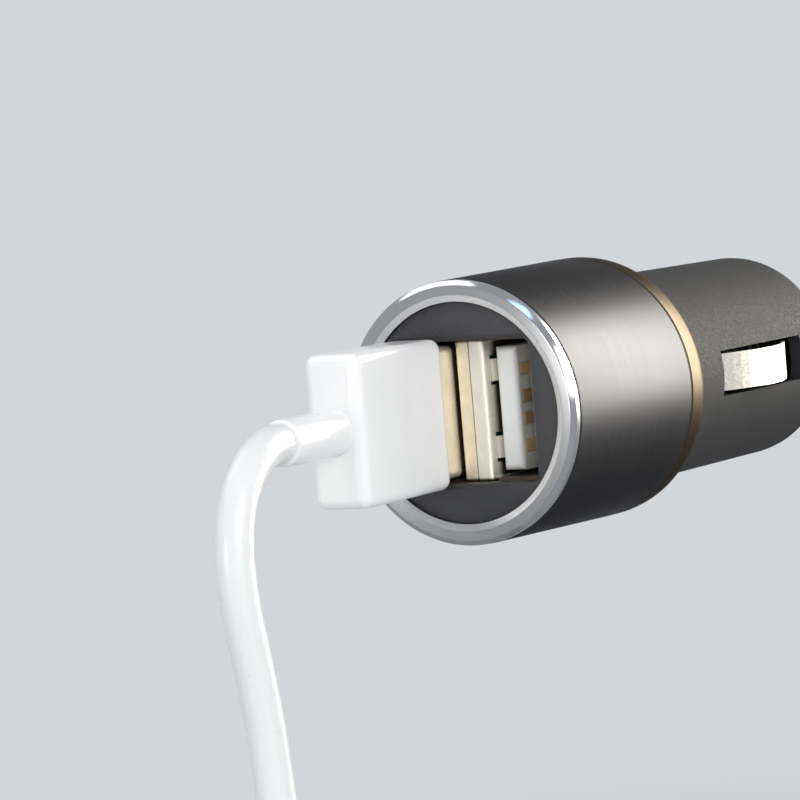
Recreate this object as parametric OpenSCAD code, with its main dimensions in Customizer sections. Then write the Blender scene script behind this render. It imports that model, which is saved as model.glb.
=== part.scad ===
// Charger with two data-plug ports for a 12 volt vehicle socket, with one lead plugged in.
// Millimetres. The charger's axis is Y: its front ring faces -Y and its nose contact points to +Y.
// The origin is the centre of the shoulder that stops against the socket's rim. Z is up.

/* [Front ring] */
// Width of the polished outer chamfer, measured along the radius
ring_edge_w = 0.46; // [0.3:0.01:0.7]
// Depth of the polished outer chamfer
ring_edge_depth = 0.37; // [0.2:0.01:0.5]
// Width of the flat brushed face of the ring
ring_face_w = 0.82; // [0.6:0.01:1.1]
// Width of the inner chamfer, measured along the radius
ring_bevel_w = 0.66; // [0.5:0.01:0.9]
// Depth of the inner chamfer
ring_bevel_depth = 0.33; // [0.2:0.01:0.5]
// Depth of the black face behind the ring's front
face_depth = 0.65; // [0.5:0.01:0.9]
// Depth of the ring's rim, from its front to the shadow gap
ring_rim_depth = 0.95; // [0.8:0.01:1.6]
// Wall of the spigot that presses into the sleeve
spigot_wall = 0.55; // [0.4:0.05:0.8]
// Length of that spigot
spigot_len = 3; // [2:0.1:4]

/* [Head] */
// Room behind the ports, in front of the barrel's flange
port_room = 2.1; // [1.2:0.1:8]
// How much wider the sleeve's front edge is than the ring, on the diameter
sleeve_step = 0.1; // [0:0.02:0.3]
// How much the sleeve widens to the rear, on the diameter
sleeve_taper = 0.7; // [0:0.1:1.2]
// Shadow gap between the ring and the sleeve
shadow_gap = 0.1; // [0.05:0.01:0.25]
// Length of the rear collar
collar_len = 2.9; // [2:0.1:4]
// Radius of the collar's rounded back edge
collar_round = 1; // [0.6:0.1:1.2]
// Chamfer on each side of the line between sleeve and collar
line_chamfer = 0.18; // [0.1:0.01:0.3]
// Thickness of the black face
face_t = 2.15; // [1.6:0.05:2.4]
// Width of the ledge that the ring holds the face by
face_ledge = 0.45; // [0.4:0.05:0.55]
// Depth of the ring's lip in front of that ledge
ledge_depth = 0.4; // [0.3:0.05:0.6]
// Thickness of the two curved legs behind the face
leg_t = 1.4; // [1:0.1:1.8]

/* [Window] */
// How far the window reaches past a port's clear width, at its sides
window_side = 0.66; // [0.5:0.02:0.8]
// How far the window reaches past a port's clear height, above and below
window_over = 0.22; // [0.1:0.02:0.26]
// Width of the black face between the window's corners and the ring
face_margin = 0.655; // [0.6:0.005:1.4]
// Chamfer of the window's upper and lower edges
window_bevel_z = 0.42; // [0.2:0.01:0.5]
// Chamfer of the window's side edges
window_bevel_x = 0.27; // [0.1:0.01:0.3]
// Corner radius of the window
window_r = 0.8; // [0.4:0.1:1]

/* [Ports] */
// Distance between the two ports' centres
port_pitch = 8.1; // [8:0.05:8.4]
// Clear width of a port
port_w = 5.12; // [5:0.02:5.2]
// Clear height of a port
port_h = 12.5; // [12.3:0.05:12.6]
// Thickness of the folded sheet
sheet_t = 0.3; // [0.25:0.01:0.35]
// Depth of the lips in the window, behind the ring's front
lip_depth = 2.6; // [2.2:0.05:2.7]
// Bend radius of the side lips
lip_r = 0.4; // [0.35:0.05:0.6]
// Gap between the lips of the two ports
lip_gap = 0.1; // [0.06:0.02:0.8]
// Length of a port's shell, from its lips to its back
shell_len = 13.9; // [13.5:0.05:14.5]
// Width of a spring finger
finger_w = 2; // [1.4:0.1:2.4]
// Length of a spring finger
finger_len = 5.6; // [4:0.1:6]
// Distance of a spring finger from the middle of the port
finger_z = 3.5; // [2.6:0.1:4]
// How far a free finger stands into its port
finger_lift = 0.45; // [0.3:0.05:0.6]
// Thickness of the contact tongue
tongue_t = 2.1; // [1.8:0.05:2.2]
// Gap above and below the contact tongue
tongue_side = 0.65; // [0.6:0.05:1]
// Gap between the tongue and the port's wall behind it
tongue_gap = 0.73; // [0.7:0.01:0.9]
// Depth of the tongue's front edge behind the ring's front
tongue_depth = 3.5; // [3.3:0.05:4.2]
// Thickness of the block that carries the tongue
base_len = 4; // [3:0.1:4.6]
// Width of a contact blade
blade_w = 1; // [0.8:0.05:1.2]
// Distance of the inner contact blades from the middle
blade_in_z = 1; // [0.9:0.05:1.2]
// Distance of the outer contact blades from the middle
blade_out_z = 3.5; // [3:0.05:4]

/* [Barrel] */
// Diameter of the barrel where it seats in the socket
seat_d = 20.6; // [20:0.1:21]
// Length of that seat, from the shoulder
seat_len = 7; // [5:0.1:7.5]
// Diameter of the barrel beyond its seat
barrel_d = 20.2; // [19.8:0.1:20.8]
// Wall of the barrel
barrel_wall = 1.3; // [1:0.1:1.6]
// Distance from the seat's step to the spring slots
slot_start = 1.2; // [0.8:0.1:3]
// Barrel wall between the spring slots and the nose cap's spigot
slot_end_wall = 1.4; // [1:0.1:3]
// Thickness of the flange inside the sleeve
flange_t = 3; // [2:0.1:3.4]
// Length of the nose cap outside the barrel
cap_len = 4.6; // [4:0.1:6]
// Length of the nose cap's spigot inside the barrel
cap_spigot = 2.2; // [1.6:0.1:2.4]
// Diameter of the nose contact
tip_d = 6.4; // [5.4:0.1:7]
// How far the nose contact stands out
tip_out = 3.4; // [3:0.1:4.4]
// Radius of the nose contact's rounded end
tip_round = 1.6; // [0.8:0.1:2.4]
// Width of the nose contact's flange
tip_flange = 1.3; // [1:0.1:1.5]

/* [Ground springs] */
// Height of a ground spring
leaf_h = 3.6; // [3:0.1:4.4]
// Sheet thickness of a ground spring
leaf_t = 0.3; // [0.2:0.05:0.4]
// How far a ground spring stands out of the barrel
leaf_out = 1; // [0.6:0.1:1.2]
// Length of a ground spring
leaf_len = 16.4; // [14:0.1:17]
// Clearance of a spring in its slot, all round
slot_gap = 0.4; // [0.3:0.05:0.6]

/* [Circuit] */
// Thickness of the circuit board
board_t = 1.2; // [1:0.1:1.6]
// Height of the board between the ports
board_h_front = 12.6; // [11:0.1:12.8]
// Diameter of the power inductor
choke_d = 7; // [6:0.1:7.6]
// Height of the power inductor above the board
choke_h = 4.4; // [3.5:0.1:5]
// Diameter of the input capacitor
input_cap_d = 5; // [4:0.1:5.6]
// Length of the input capacitor
input_cap_len = 8; // [6:0.1:9]
// Diameter of the output capacitor
output_cap_d = 4; // [3.4:0.1:5]
// Length of the output capacitor
output_cap_len = 6; // [5:0.1:6.4]
// Wire of the tip spring
spring_wire = 0.6; // [0.5:0.05:0.7]
// Outer diameter of the tip spring
spring_d = 5.6; // [5:0.1:6]
// Length of the tip spring when the nose contact is out
spring_len = 10.7; // [9.6:0.1:13]
// Gap between neighbouring components on the board
part_gap = 0.8; // [0.5:0.1:1]

/* [Plug and lead] */
// Gap between the metal plug and its port, at each side
plug_gap_x = 0.31; // [0.28:0.01:0.36]
// Gap between the metal plug and its port, above and below
plug_gap_z = 0.25; // [0.2:0.05:0.3]
// Length of the metal plug outside its housing
plug_len = 11.6; // [11.3:0.05:12]
// Depth of the plug housing's front edge behind the ring's front
housing_depth = 0.3; // [-1:0.1:0.3]
// Wall of the plug housing beside the metal plug
housing_wall_x = 0.6; // [0.45:0.05:1]
// Wall of the plug housing above and below the metal plug
housing_wall_z = 0.85; // [0.6:0.05:1.5]
// Length of the plug housing
housing_len = 14.6; // [12:0.1:20]
// Radius of the plug housing's edges
housing_r = 1; // [0.5:0.1:1.3]
// Depth of the metal plug inside its housing
plug_root = 3; // [2:0.1:4]
// Diameter of the lead
lead_d = 3.5; // [3.3:0.1:3.6]
// Diameter of the collar behind the plug housing
boot_d = 4.1; // [3.9:0.05:4.6]
// Mean radius of the lead's coil
coil_mean_r = 18.2; // [16:0.1:24]

/* [Hidden] */
$fn = 72;

// Fits and small clearances
fit = 0.04;
slip = 0.1;
merge = 0.02;

// The window follows the two ports
window_in_w = port_pitch + port_w + 2 * window_side;
window_in_h = port_h + 2 * window_over;
window_h = window_in_h + 2 * window_bevel_z;
window_w = window_in_w + 2 * window_bevel_x;

// Radii of the head, worked out from the window's corners outwards
ring_bore_r = norm([window_in_w / 2 - window_r, window_in_h / 2 - window_r]) + window_r + face_margin;
ring_face_in_r = ring_bore_r + ring_bevel_w;
ring_face_out_r = ring_face_in_r + ring_face_w;
ring_r = ring_face_out_r + ring_edge_w;
face_r = ring_bore_r - fit;
face_flange_r = ring_bore_r + face_ledge;
spigot_in_r = face_flange_r + fit;
spigot_r = spigot_in_r + spigot_wall;
sleeve_bore_r = spigot_r + fit;
sleeve_front_r = ring_r + sleeve_step / 2;
sleeve_rear_r = sleeve_front_r + sleeve_taper / 2;

top_lip_r = 0.5;

// Stations along Y. The head is as long as its ports, the barrel's flange and the collar need.
head_len = lip_depth + shell_len + port_room + flange_t + collar_len;
ring_y = -head_len;
face_y = ring_y + face_depth;
ledge_y = face_y + ledge_depth;
face_back_y = face_y + face_t;
sleeve_y = ring_y + ring_rim_depth + shadow_gap;
collar_y = -collar_len;
flange_y = collar_y - flange_t;
lip_y = ring_y + lip_depth;
shell_y = face_back_y + slip + top_lip_r;
shell_end_y = lip_y + shell_len;
tongue_y = ring_y + tongue_depth;
base_y = shell_end_y - base_len;

// Ports
port_x = port_pitch / 2;
lip_h = window_in_h - 2 * slip;
tongue_h = port_h - 2 * tongue_side;
lip_reach = (port_pitch - port_w - lip_gap) / 2;
wall_x = port_w / 2;
board_side_x = -port_x + board_t / 2;
tongue_x = -wall_x + tongue_gap;
blade_t = 0.2;
blade_proud = 0.07;
groove_depth = blade_t - blade_proud;
contact_x = tongue_x + tongue_t;
contact_inset = 0.75;
blade_gap = 0.1;
tongue_front_r = 0.5;
tongue_edge_r = 0.45;
base_lap = 1;
blade_z = [-blade_out_z, -blade_in_z, blade_in_z, blade_out_z];
tail_gap = 0.8;
finger_gap = 0.35;
finger_start = 0.3;
finger_crest = 0.9;
finger_tip = 0.1;
leg_start = 2;
leg_end = 1.6;
leg_w = 1.1;
leg_z = 0.4 * port_h;
pressed_lift = plug_gap_x - fit;

// Barrel, cap and tip
barrel_r = barrel_d / 2;
seat_r = seat_d / 2;
neck_r = seat_r - 2 * slip;
bore_r = barrel_r - barrel_wall;
slot_y = seat_len + slot_start;
leaf_y = slot_y + slot_gap;
slot_len = leaf_len + 2 * slot_gap;
leaf_foot_inset = 0.6;
leaf_foot_len = 1;
leaf_foot_rise = 0.5;
leaf_end_len = 0.6;
tip_r = tip_d / 2;
tip_flange_r = tip_r + tip_flange;
tip_flange_t = 1;
cap_bore_r = tip_r + slip;
cap_pocket_r = tip_flange_r + 2 * slip;
cap_lip_t = 2.6;
cap_rim = 1;
cap_wall = 1.2;
cap_step = 0.4;
tip_pin_len = 1.9;
tip_chamfer = 0.4;
seat_plate_t = 0.5;
seat_tab_len = 2.5;
seat_tab_h = 3;
spring_turns = 6;
spring_stack = cap_lip_t - cap_len + tip_flange_t + merge + spring_len + seat_plate_t;

// Components on the board, in order from the ports to the nose, with their ends along Y
drum_flange = 0.9;
drum_core = 0.44 * choke_d;
can_lead = 0.5;
port_chip = [2.9, 1.6, 1.1];
charge_chip = [4.9, 3.9, 1.5];
diode = [3.6, 3.4, 2];
parts_y = collar_y - flange_t + part_gap;
port_chip_y = parts_y + port_chip[0] / 2;
charge_chip_y = port_chip_y + port_chip[0] / 2 + part_gap + charge_chip[0] / 2;
input_cap_y = charge_chip_y + charge_chip[0] / 2 + part_gap;
output_cap_y = parts_y;
choke_y = output_cap_y + output_cap_len + can_lead + part_gap + choke_d / 2;
diode_y = choke_y + choke_d / 2 + part_gap + diode[1] / 2;
last_part_y = max(input_cap_y + input_cap_len + can_lead, diode_y + diode[1] / 2);
parts_end_y = last_part_y + part_gap + seat_tab_len;

// The barrel is as long as its springs or its circuit need, whichever is more
barrel_len = max(slot_y + slot_len + slot_end_wall + cap_spigot, parts_end_y + spring_stack);
cap_lip_y = barrel_len + cap_len - cap_lip_t;
tip_flange_y = cap_lip_y - tip_flange_t - merge;
tip_end_y = barrel_len + cap_len + tip_out;
seat_plate_y = barrel_len - spring_stack;
spring_pin_r = spring_d / 2 - spring_wire - slip;

// Board
board_front_y = shell_y + 2.1;
board_wide_y = flange_y + part_gap / 2;
board_end_y = seat_plate_y;
board_rim = 0.35;
board_h = 2 * (bore_r - board_rim);
guide_w = 3.4;
guide_depth = 0.8;
guide_start = 0.5;

// The plug
plug_tip_y = ring_y + housing_depth + plug_len;
housing_y = ring_y + housing_depth - housing_len;
plug_w = port_w - 2 * plug_gap_x;
plug_h = port_h - 2 * plug_gap_z;
plug_t = 0.3;
plug_hole = 2.2;
plug_hole_y = 4.2;
plug_x = plug_w / 2 - plug_t;
plug_blade_x = contact_x + blade_proud + slip;
housing_w = plug_w + 2 * housing_wall_x;
housing_h = plug_h + 2 * housing_wall_z;

// The lead: its route down to the coil, and from the coil to its end
run_points = [
    [-4.05, -47.2, 0], [-4.05, -48.6, 0], [-4.05, -50.5, -0.6], [-4.05, -52.3, -1.9],
    [-4.05, -53.9, -3.8], [-4.05, -54.9, -6.2], [-4.05, -55.3, -8.8], [-4.05, -55.2, -11.8],
    [-4.05, -54.6, -15.2], [-4.05, -53.8, -18.8], [-4.05, -53.1, -22.6], [-4.05, -52.6, -26.4],
    [-4, -52.3, -30.2], [-4, -52.1, -33.7], [-4, -51.4, -36.7], [-4, -49.9, -39.2],
    [-4, -47.5, -40.9], [-4, -44.5, -41.5]
];
run_end = run_points[len(run_points) - 1];
boot_y = run_points[0][1];
boot_len = housing_y - boot_y;
coil_layers = 3;
coil_out_r = coil_mean_r + lead_d;
coil_centre = run_end + [lead_d, 0, -coil_out_r];
tail_turn = 50;
tail_start = coil_centre + [lead_d, coil_out_r * sin(tail_turn), coil_out_r * cos(tail_turn)];
tail_steps = [[0, 0], [2.9, -3.4], [5.6, -6.9], [7.6, -10.4], [8.9, -14.2], [9.4, -17.8], [9.4, -18.8]];
tail_points = [for (s = tail_steps) tail_start + [0, s[0], s[1]]];
bundle = coil_layers * lead_d;
bundle_corner = lead_d / 2;
tie_t = 1;
tie_start = 144;
tie_angle = 22;
end_collar_d = boot_d;
end_collar_len = 7;
end_body = [10.6, 5.4, 14];
end_body_r = 2;
end_shell = [8.34, 2.56, 6.5];
end_top = tail_points[len(tail_points) - 1];

// Extrudes a section drawn in X and Z along +Y
module along_y(start, length) translate([0, start, 0]) rotate([-90, 0, 0]) mirror([0, 1, 0])
    linear_extrude(height = length) children();

// Extrudes a section drawn in Y and Z along +X
module along_x(start, length)
    translate([start, 0, 0]) rotate([90, 0, 90]) linear_extrude(height = length) children();

// Revolves a section drawn as radius and distance about the charger's axis
module turned(start)
    translate([0, start, 0]) rotate([-90, 0, 0]) rotate_extrude() children();

module round_rect(w, h, r) {
    square([w - 2 * r, h], center = true);
    square([w, h - 2 * r], center = true);
    for (sx = [-1, 1], sy = [-1, 1])
        translate([sx * (w / 2 - r), sy * (h / 2 - r)]) circle(r);
}

// A block given by its low and high corner
module block(low, high) translate(low) cube(high - low);

// Points of an arc, with angles in degrees
function arc(centre, r, from, to, steps) =
    [for (i = [0:steps]) let (a = from + (to - from) * i / steps) centre + r * [cos(a), sin(a)]];

function unit(v) = v / norm(v);

// A tube of round section swept along points, with flat ends. Side is a direction off every tangent.
module tube(points, d, sides, side) {
    n = len(points);
    rings = [for (i = [0:n - 1])
        let (t = unit(points[min(i + 1, n - 1)] - points[max(i - 1, 0)]))
        let (u = unit(side - (side * t) * t))
        let (v = cross(t, u))
        for (k = [0:sides - 1]) points[i] + d / 2 * (cos(360 * k / sides) * u + sin(360 * k / sides) * v)];
    skin = [for (i = [0:n - 2], k = [0:sides - 1])
        let (next = (k + 1) % sides, low = i * sides, high = low + sides)
        [high + k, high + next, low + next, low + k]];
    ends = [[for (k = [0:sides - 1]) k], [for (k = [sides - 1:-1:0]) (n - 1) * sides + k]];
    polyhedron(rings, concat(skin, ends));
}

module bezel_ring() color("silver") turned(ring_y)
    polygon([
        [ring_bore_r, ring_bevel_depth], [ring_face_in_r, 0], [ring_face_out_r, 0],
        [ring_r, ring_edge_depth], [ring_r, ring_rim_depth], [spigot_r, ring_rim_depth],
        [spigot_r, ring_rim_depth + spigot_len], [spigot_in_r, ring_rim_depth + spigot_len],
        [spigot_in_r, ledge_y - ring_y], [ring_bore_r, ledge_y - ring_y]
    ]);

// The window through the face, with a short chamfer in front
module window_cut() {
    over = face_t / 4;
    along_y(face_y - over, face_t + 2 * over) round_rect(window_in_w, window_in_h, window_r);
    for (s = [-1, 1]) {
        along_x(-window_in_w / 2, window_in_w) polygon([
            [face_y - over, s * (window_h / 2 + over)], [face_y + window_bevel_z, s * (window_in_h / 2)],
            [face_y + window_bevel_z, s * (window_in_h / 2 - window_r)],
            [face_y - over, s * (window_in_h / 2 - window_r)]
        ]);
        linear_extrude(height = window_in_h - 2 * window_r, center = true) polygon([
            [s * (window_w / 2 + over), face_y - over], [s * (window_in_w / 2), face_y + window_bevel_x],
            [s * (window_in_w / 2 - window_r), face_y + window_bevel_x],
            [s * (window_in_w / 2 - window_r), face_y - over]
        ]);
    }
}

// The black face, with two curved legs that reach back to the barrel
module face_insert() color("#161618") {
    leg_z = port_h / 2 + sheet_t + top_lip_r + slip;
    difference() {
        turned(0) polygon([
            [0, face_y], [face_r, face_y], [face_r, ledge_y + fit], [face_flange_r, ledge_y + fit],
            [face_flange_r, face_back_y], [0, face_back_y]
        ]);
        window_cut();
    }
    difference() {
        turned(0) polygon([
            [face_flange_r - leg_t, face_back_y - merge], [face_flange_r, face_back_y - merge],
            [face_flange_r, flange_y - fit], [face_flange_r - leg_t, flange_y - fit]
        ]);
        block([-ring_r, face_back_y - 1, -leg_z], [ring_r, flange_y + 1, leg_z]);
    }
}

module head_sleeve() color("#4a4b50") turned(0)
    polygon([
        [sleeve_bore_r, sleeve_y], [sleeve_front_r - shadow_gap, sleeve_y],
        [sleeve_front_r, sleeve_y + shadow_gap], [sleeve_rear_r, collar_y - line_chamfer],
        [sleeve_rear_r - line_chamfer, collar_y], [sleeve_bore_r, collar_y]
    ]);

module rear_collar() color("#8b8378") turned(0)
    polygon(concat(
        [[seat_r + fit, collar_y], [sleeve_rear_r - line_chamfer, collar_y],
            [sleeve_rear_r, collar_y + line_chamfer]],
        arc([sleeve_rear_r - collar_round, -collar_round], collar_round, 0, 90, 8),
        [[seat_r + fit, 0]]
    ));

// The slots and the board guides run along the barrel's wall
module socket_barrel() color("#1b1b1d") difference() {
    union() {
        turned(0) polygon([
            [bore_r, flange_y], [spigot_r, flange_y], [spigot_r, collar_y], [neck_r, collar_y], [neck_r, 0],
            [seat_r, 0], [seat_r, seat_len], [barrel_r, seat_len], [barrel_r, barrel_len],
            [bore_r, barrel_len]
        ]);
        for (s = [-1, 1]) intersection() {
            turned(0) polygon([[0, flange_y + guide_start], [bore_r + guide_start, flange_y + guide_start],
                [bore_r + guide_start, board_end_y], [0, board_end_y]]);
            block([-guide_w / 2, flange_y, s > 0 ? bore_r - guide_depth : -barrel_r],
                [guide_w / 2, board_end_y, s > 0 ? barrel_r : -bore_r + guide_depth]);
        }
    }
    block([-board_t / 2 - fit, flange_y - 1, -board_h / 2 - fit],
        [board_t / 2 + fit, board_end_y + 1, board_h / 2 + fit]);
    for (s = [-1, 1]) translate([s * barrel_r, slot_y + slot_len / 2, 0])
        cube([barrel_r, slot_len, leaf_h + 2 * slot_gap], center = true);
}

module nose_cap() color("#202022") {
    spigot = bore_r - fit;
    top = barrel_len + cap_len;
    round_r = cap_len - cap_rim;
    edge_turn = 10;
    turned(0) polygon(concat(
        [[spigot - cap_wall, barrel_len - cap_spigot], [spigot, barrel_len - cap_spigot], [spigot, barrel_len],
            [barrel_r, barrel_len], [barrel_r, barrel_len + cap_rim]],
        arc([barrel_r - round_r, barrel_len + cap_rim], round_r, edge_turn, 90 - edge_turn, 7),
        [[cap_bore_r + cap_rim, top], [cap_bore_r, top], [cap_bore_r, cap_lip_y], [cap_pocket_r, cap_lip_y],
            [cap_pocket_r, barrel_len + cap_step], [spigot - cap_wall, barrel_len - cap_step]]
    ));
}

// The nose contact, with a flange behind the cap's lip and a pin that guides its spring
module tip_contact() color("#d5d3cc") turned(0) {
    edge_turn = 15;
    polygon(concat(
        [[0, tip_flange_y - tip_pin_len], [spring_pin_r - tip_chamfer, tip_flange_y - tip_pin_len],
            [spring_pin_r, tip_flange_y - tip_pin_len + tip_chamfer],
            [spring_pin_r, tip_flange_y], [tip_flange_r, tip_flange_y],
            [tip_flange_r, tip_flange_y + tip_flange_t], [tip_r, tip_flange_y + tip_flange_t],
            [tip_r, tip_end_y - tip_round]],
        arc([tip_r - tip_round, tip_end_y - tip_round], tip_round, edge_turn, 90, 6),
        [[0, tip_end_y]]
    ));
}

// A compression spring whose first and last coils lie flat on their seats
module tip_spring() color("#b9b9bd") {
    low = seat_plate_y + seat_plate_t + spring_wire / 2;
    high = tip_flange_y - spring_wire / 2;
    steps = 14;
    r = (spring_d - spring_wire) / 2;
    total = spring_turns * steps;
    tube([for (i = [0:total])
        let (share = i / steps)
        let (rise = min(max(share - 0.75, 0), spring_turns - 1.5) / (spring_turns - 1.5))
        [r * cos(360 * share), low + (high - low) * rise, r * sin(360 * share)]],
        spring_wire, 6, [0, 1, 0.001]);
}

// The brass seat of the spring, folded over the end of the board
module spring_seat() color("#c9a24e") {
    plate_r = spring_d / 2 + seat_plate_t;
    turned(0) polygon([[0, seat_plate_y + fit], [plate_r, seat_plate_y + fit],
        [plate_r, seat_plate_y + seat_plate_t], [0, seat_plate_y + seat_plate_t]]);
    for (m = [0, 1]) mirror([m, 0, 0])
        block([board_t / 2 + fit, seat_plate_y - seat_tab_len, -seat_tab_h / 2],
            [board_t / 2 + fit + seat_plate_t, seat_plate_y + seat_plate_t / 2, seat_tab_h / 2]);
}

// One bowed ground spring at +X, cut from sheet, with a bent foot inside the barrel
module ground_leaf() {
    foot_x = bore_r - leaf_foot_inset;
    start_x = foot_x + leaf_foot_rise;
    top_x = barrel_r + leaf_out;
    end_y = leaf_y + leaf_len;
    reach = leaf_len - 2 * leaf_end_len;
    steps = 16;
    crown = [for (i = [0:steps])
        [start_x + (top_x - start_x) * sin(180 * i / steps), leaf_y + leaf_end_len + reach * i / steps]];
    linear_extrude(height = leaf_h, center = true) polygon(concat(
        [[foot_x - leaf_t, leaf_y - leaf_foot_len], [foot_x, leaf_y - leaf_foot_len]],
        crown,
        [[foot_x, end_y], [foot_x - leaf_t, end_y]],
        [for (i = [steps:-1:0]) crown[i] - [leaf_t, 0]]
    ));
}

module ground_spring_right() color("#c9c7bf") ground_leaf();
module ground_spring_left() color("#c9c7bf") mirror([1, 0, 0]) ground_leaf();

// Puts what is drawn for the right port at either port, so that the left one is its mirror
module at_port(side) mirror([side < 0 ? 1 : 0, 0, 0]) translate([port_x, 0, 0]) children();

// The rolled lip of one wall, drawn at +X in X and Y: a quarter bend and a short flat
module lip_section(front, reach, bend) translate([0, front]) {
    intersection() {
        translate([bend, bend]) difference() {
            circle(bend);
            circle(bend - sheet_t);
        }
        square([bend, bend + merge]);
    }
    if (reach > bend) translate([bend - merge, 0]) square([reach - bend + merge, sheet_t]);
}

// One spring finger at the +X wall: it is joined to the wall behind and stands into the port in front
module finger(lift) {
    front = shell_y + finger_start;
    back = front + finger_len;
    linear_extrude(height = finger_w, center = true) polygon([
        [wall_x, back], [wall_x - lift, front + finger_crest], [wall_x - lift * 0.3, front + finger_tip],
        [wall_x - lift * 0.3 + sheet_t, front + finger_tip], [wall_x - lift + sheet_t, front + finger_crest],
        [wall_x + sheet_t, back]
    ]);
}

// The folded sheet shell of a port, with rolled lips, spring fingers and solder legs. The wall beside
// the other port reaches forward into the window.
module port_shell(side, lift) color("#cdbf9f") at_port(side) {
    difference() {
        along_y(shell_y - merge, shell_end_y - shell_y + merge) difference() {
            round_rect(port_w + 2 * sheet_t, port_h + 2 * sheet_t, 2 * sheet_t);
            round_rect(port_w, port_h, sheet_t);
        }
        for (z = [-finger_z, finger_z])
            block([-wall_x - 1, shell_y + finger_start, z - finger_w / 2 - finger_gap],
                [wall_x + 1, shell_y + finger_start + finger_len, z + finger_w / 2 + finger_gap]);
    }
    for (m = [0, 1]) mirror([m, 0, 0]) {
        translate([wall_x, 0, 0]) linear_extrude(height = lip_h, center = true)
            lip_section(m == 0 ? shell_y - lip_r : lip_y, lip_reach, lip_r);
        for (z = [-finger_z, finger_z]) translate([0, 0, z]) finger(lift);
    }
    block([-wall_x - sheet_t, lip_y + lip_r, -lip_h / 2], [-wall_x, shell_y + merge, lip_h / 2]);
    for (m = [0, 1]) mirror([0, 0, m]) translate([0, 0, port_h / 2]) rotate([0, -90, 0])
        linear_extrude(height = port_w - 2 * sheet_t, center = true)
            lip_section(shell_y - top_lip_r, top_lip_r, top_lip_r);
    for (y = [shell_y + finger_start + finger_len + leg_start, shell_end_y - leg_end], z = [-leg_z, leg_z])
        block([board_side_x, y, z - leg_w / 2], [-wall_x - sheet_t / 2, y + leg_w, z + leg_w / 2]);
}

module port_shell_right() port_shell(1, finger_lift);
module port_shell_left() port_shell(-1, pressed_lift);

// The moulded tongue and the block behind it, with a channel for each contact
module port_tongue(side) color("#f2f1ec") at_port(side) difference() {
    union() {
        intersection() {
            along_x(tongue_x, tongue_t) translate([(tongue_y + base_y + base_lap) / 2, 0])
                round_rect(base_y + base_lap - tongue_y, tongue_h, tongue_front_r);
            linear_extrude(height = tongue_h, center = true)
                translate([tongue_x + tongue_t / 2, (tongue_y + base_y + base_lap) / 2])
                    round_rect(tongue_t, base_y + base_lap - tongue_y, tongue_edge_r);
        }
        along_y(base_y, base_len - fit) round_rect(port_w - 2 * fit, port_h - 2 * fit, sheet_t);
    }
    for (z = blade_z)
        block([contact_x - groove_depth - fit, tongue_y + contact_inset - blade_gap,
                z - blade_w / 2 - blade_gap],
            [contact_x + blade_proud + fit, shell_end_y + 1, z + blade_w / 2 + blade_gap]);
}

module port_tongue_right() port_tongue(1);
module port_tongue_left() port_tongue(-1);

// Four contacts: each lies along the tongue and is bent down behind the block to the board
module port_contacts(side) color("#c58a4a") at_port(side)
    for (z = blade_z) {
        block([contact_x - groove_depth, tongue_y + contact_inset, z - blade_w / 2],
            [contact_x + blade_proud, shell_end_y + tail_gap, z + blade_w / 2]);
        block([board_side_x, shell_end_y + tail_gap - blade_t, z - blade_w / 2 + 0.2],
            [contact_x, shell_end_y + tail_gap, z + blade_w / 2 - 0.2]);
    }

module port_contacts_right() port_contacts(1);
module port_contacts_left() port_contacts(-1);

module circuit_board() color("#1d6b3a") {
    block([-board_t / 2, board_front_y, -board_h_front / 2],
        [board_t / 2, board_wide_y + merge, board_h_front / 2]);
    block([-board_t / 2, board_wide_y, -board_h / 2], [board_t / 2, board_end_y, board_h / 2]);
}

// Places a part on the board's +X side, with its own axis away from the board
module on_board(side, y, z) translate([side * board_t / 2, y, z]) rotate([0, side * 90, 0]) children();

module power_inductor() color("#3a3a3c") on_board(1, choke_y, 0) rotate_extrude()
    polygon([
        [0, 0], [choke_d / 2, 0], [choke_d / 2, drum_flange], [drum_core / 2, drum_flange],
        [drum_core / 2, choke_h - drum_flange], [choke_d / 2, choke_h - drum_flange], [choke_d / 2, choke_h],
        [0, choke_h]
    ]);

// The copper winding: its wire shows as rings between the drum's flanges
module inductor_winding() color("#b5652b") on_board(1, choke_y, 0) rotate_extrude() {
    wire = 0.4;
    low = drum_flange + fit;
    high = choke_h - drum_flange - fit;
    count = floor((high - low) / wire);
    inner = drum_core / 2 + fit;
    outer = 0.4 * choke_d;
    translate([inner, low]) square([outer - inner, high - low]);
    for (i = [0:count - 1]) translate([outer, low + wire * (i + 0.5)]) circle(wire / 2, $fn = 16);
}

// A capacitor can that lies along Y on the board, with its crimped neck and two leads
module can(side, d, length, start) {
    translate([side * (board_t / 2 + d / 2 + fit), start, 0]) rotate([-90, 0, 0]) rotate_extrude()
        polygon([
            [0, 0], [d / 2 - 0.3, 0], [d / 2, 0.3], [d / 2, length * 0.7], [d / 2 - 0.25, length * 0.7 + 0.35],
            [d / 2, length * 0.7 + 0.7], [d / 2, length - 0.3], [d / 2 - 0.3, length], [0, length]
        ]);
    for (z = [-d * 0.2, d * 0.2])
        mirror([side < 0 ? 1 : 0, 0, 0])
            block([board_t / 2, start + length - merge, z - can_lead / 2],
                [(board_t + d + can_lead) / 2, start + length + can_lead, z + can_lead / 2]);
}

module input_capacitor() color("#23355c") can(-1, input_cap_d, input_cap_len, input_cap_y);
module output_capacitor() color("#2b2b2f") can(1, output_cap_d, output_cap_len, output_cap_y);

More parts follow.
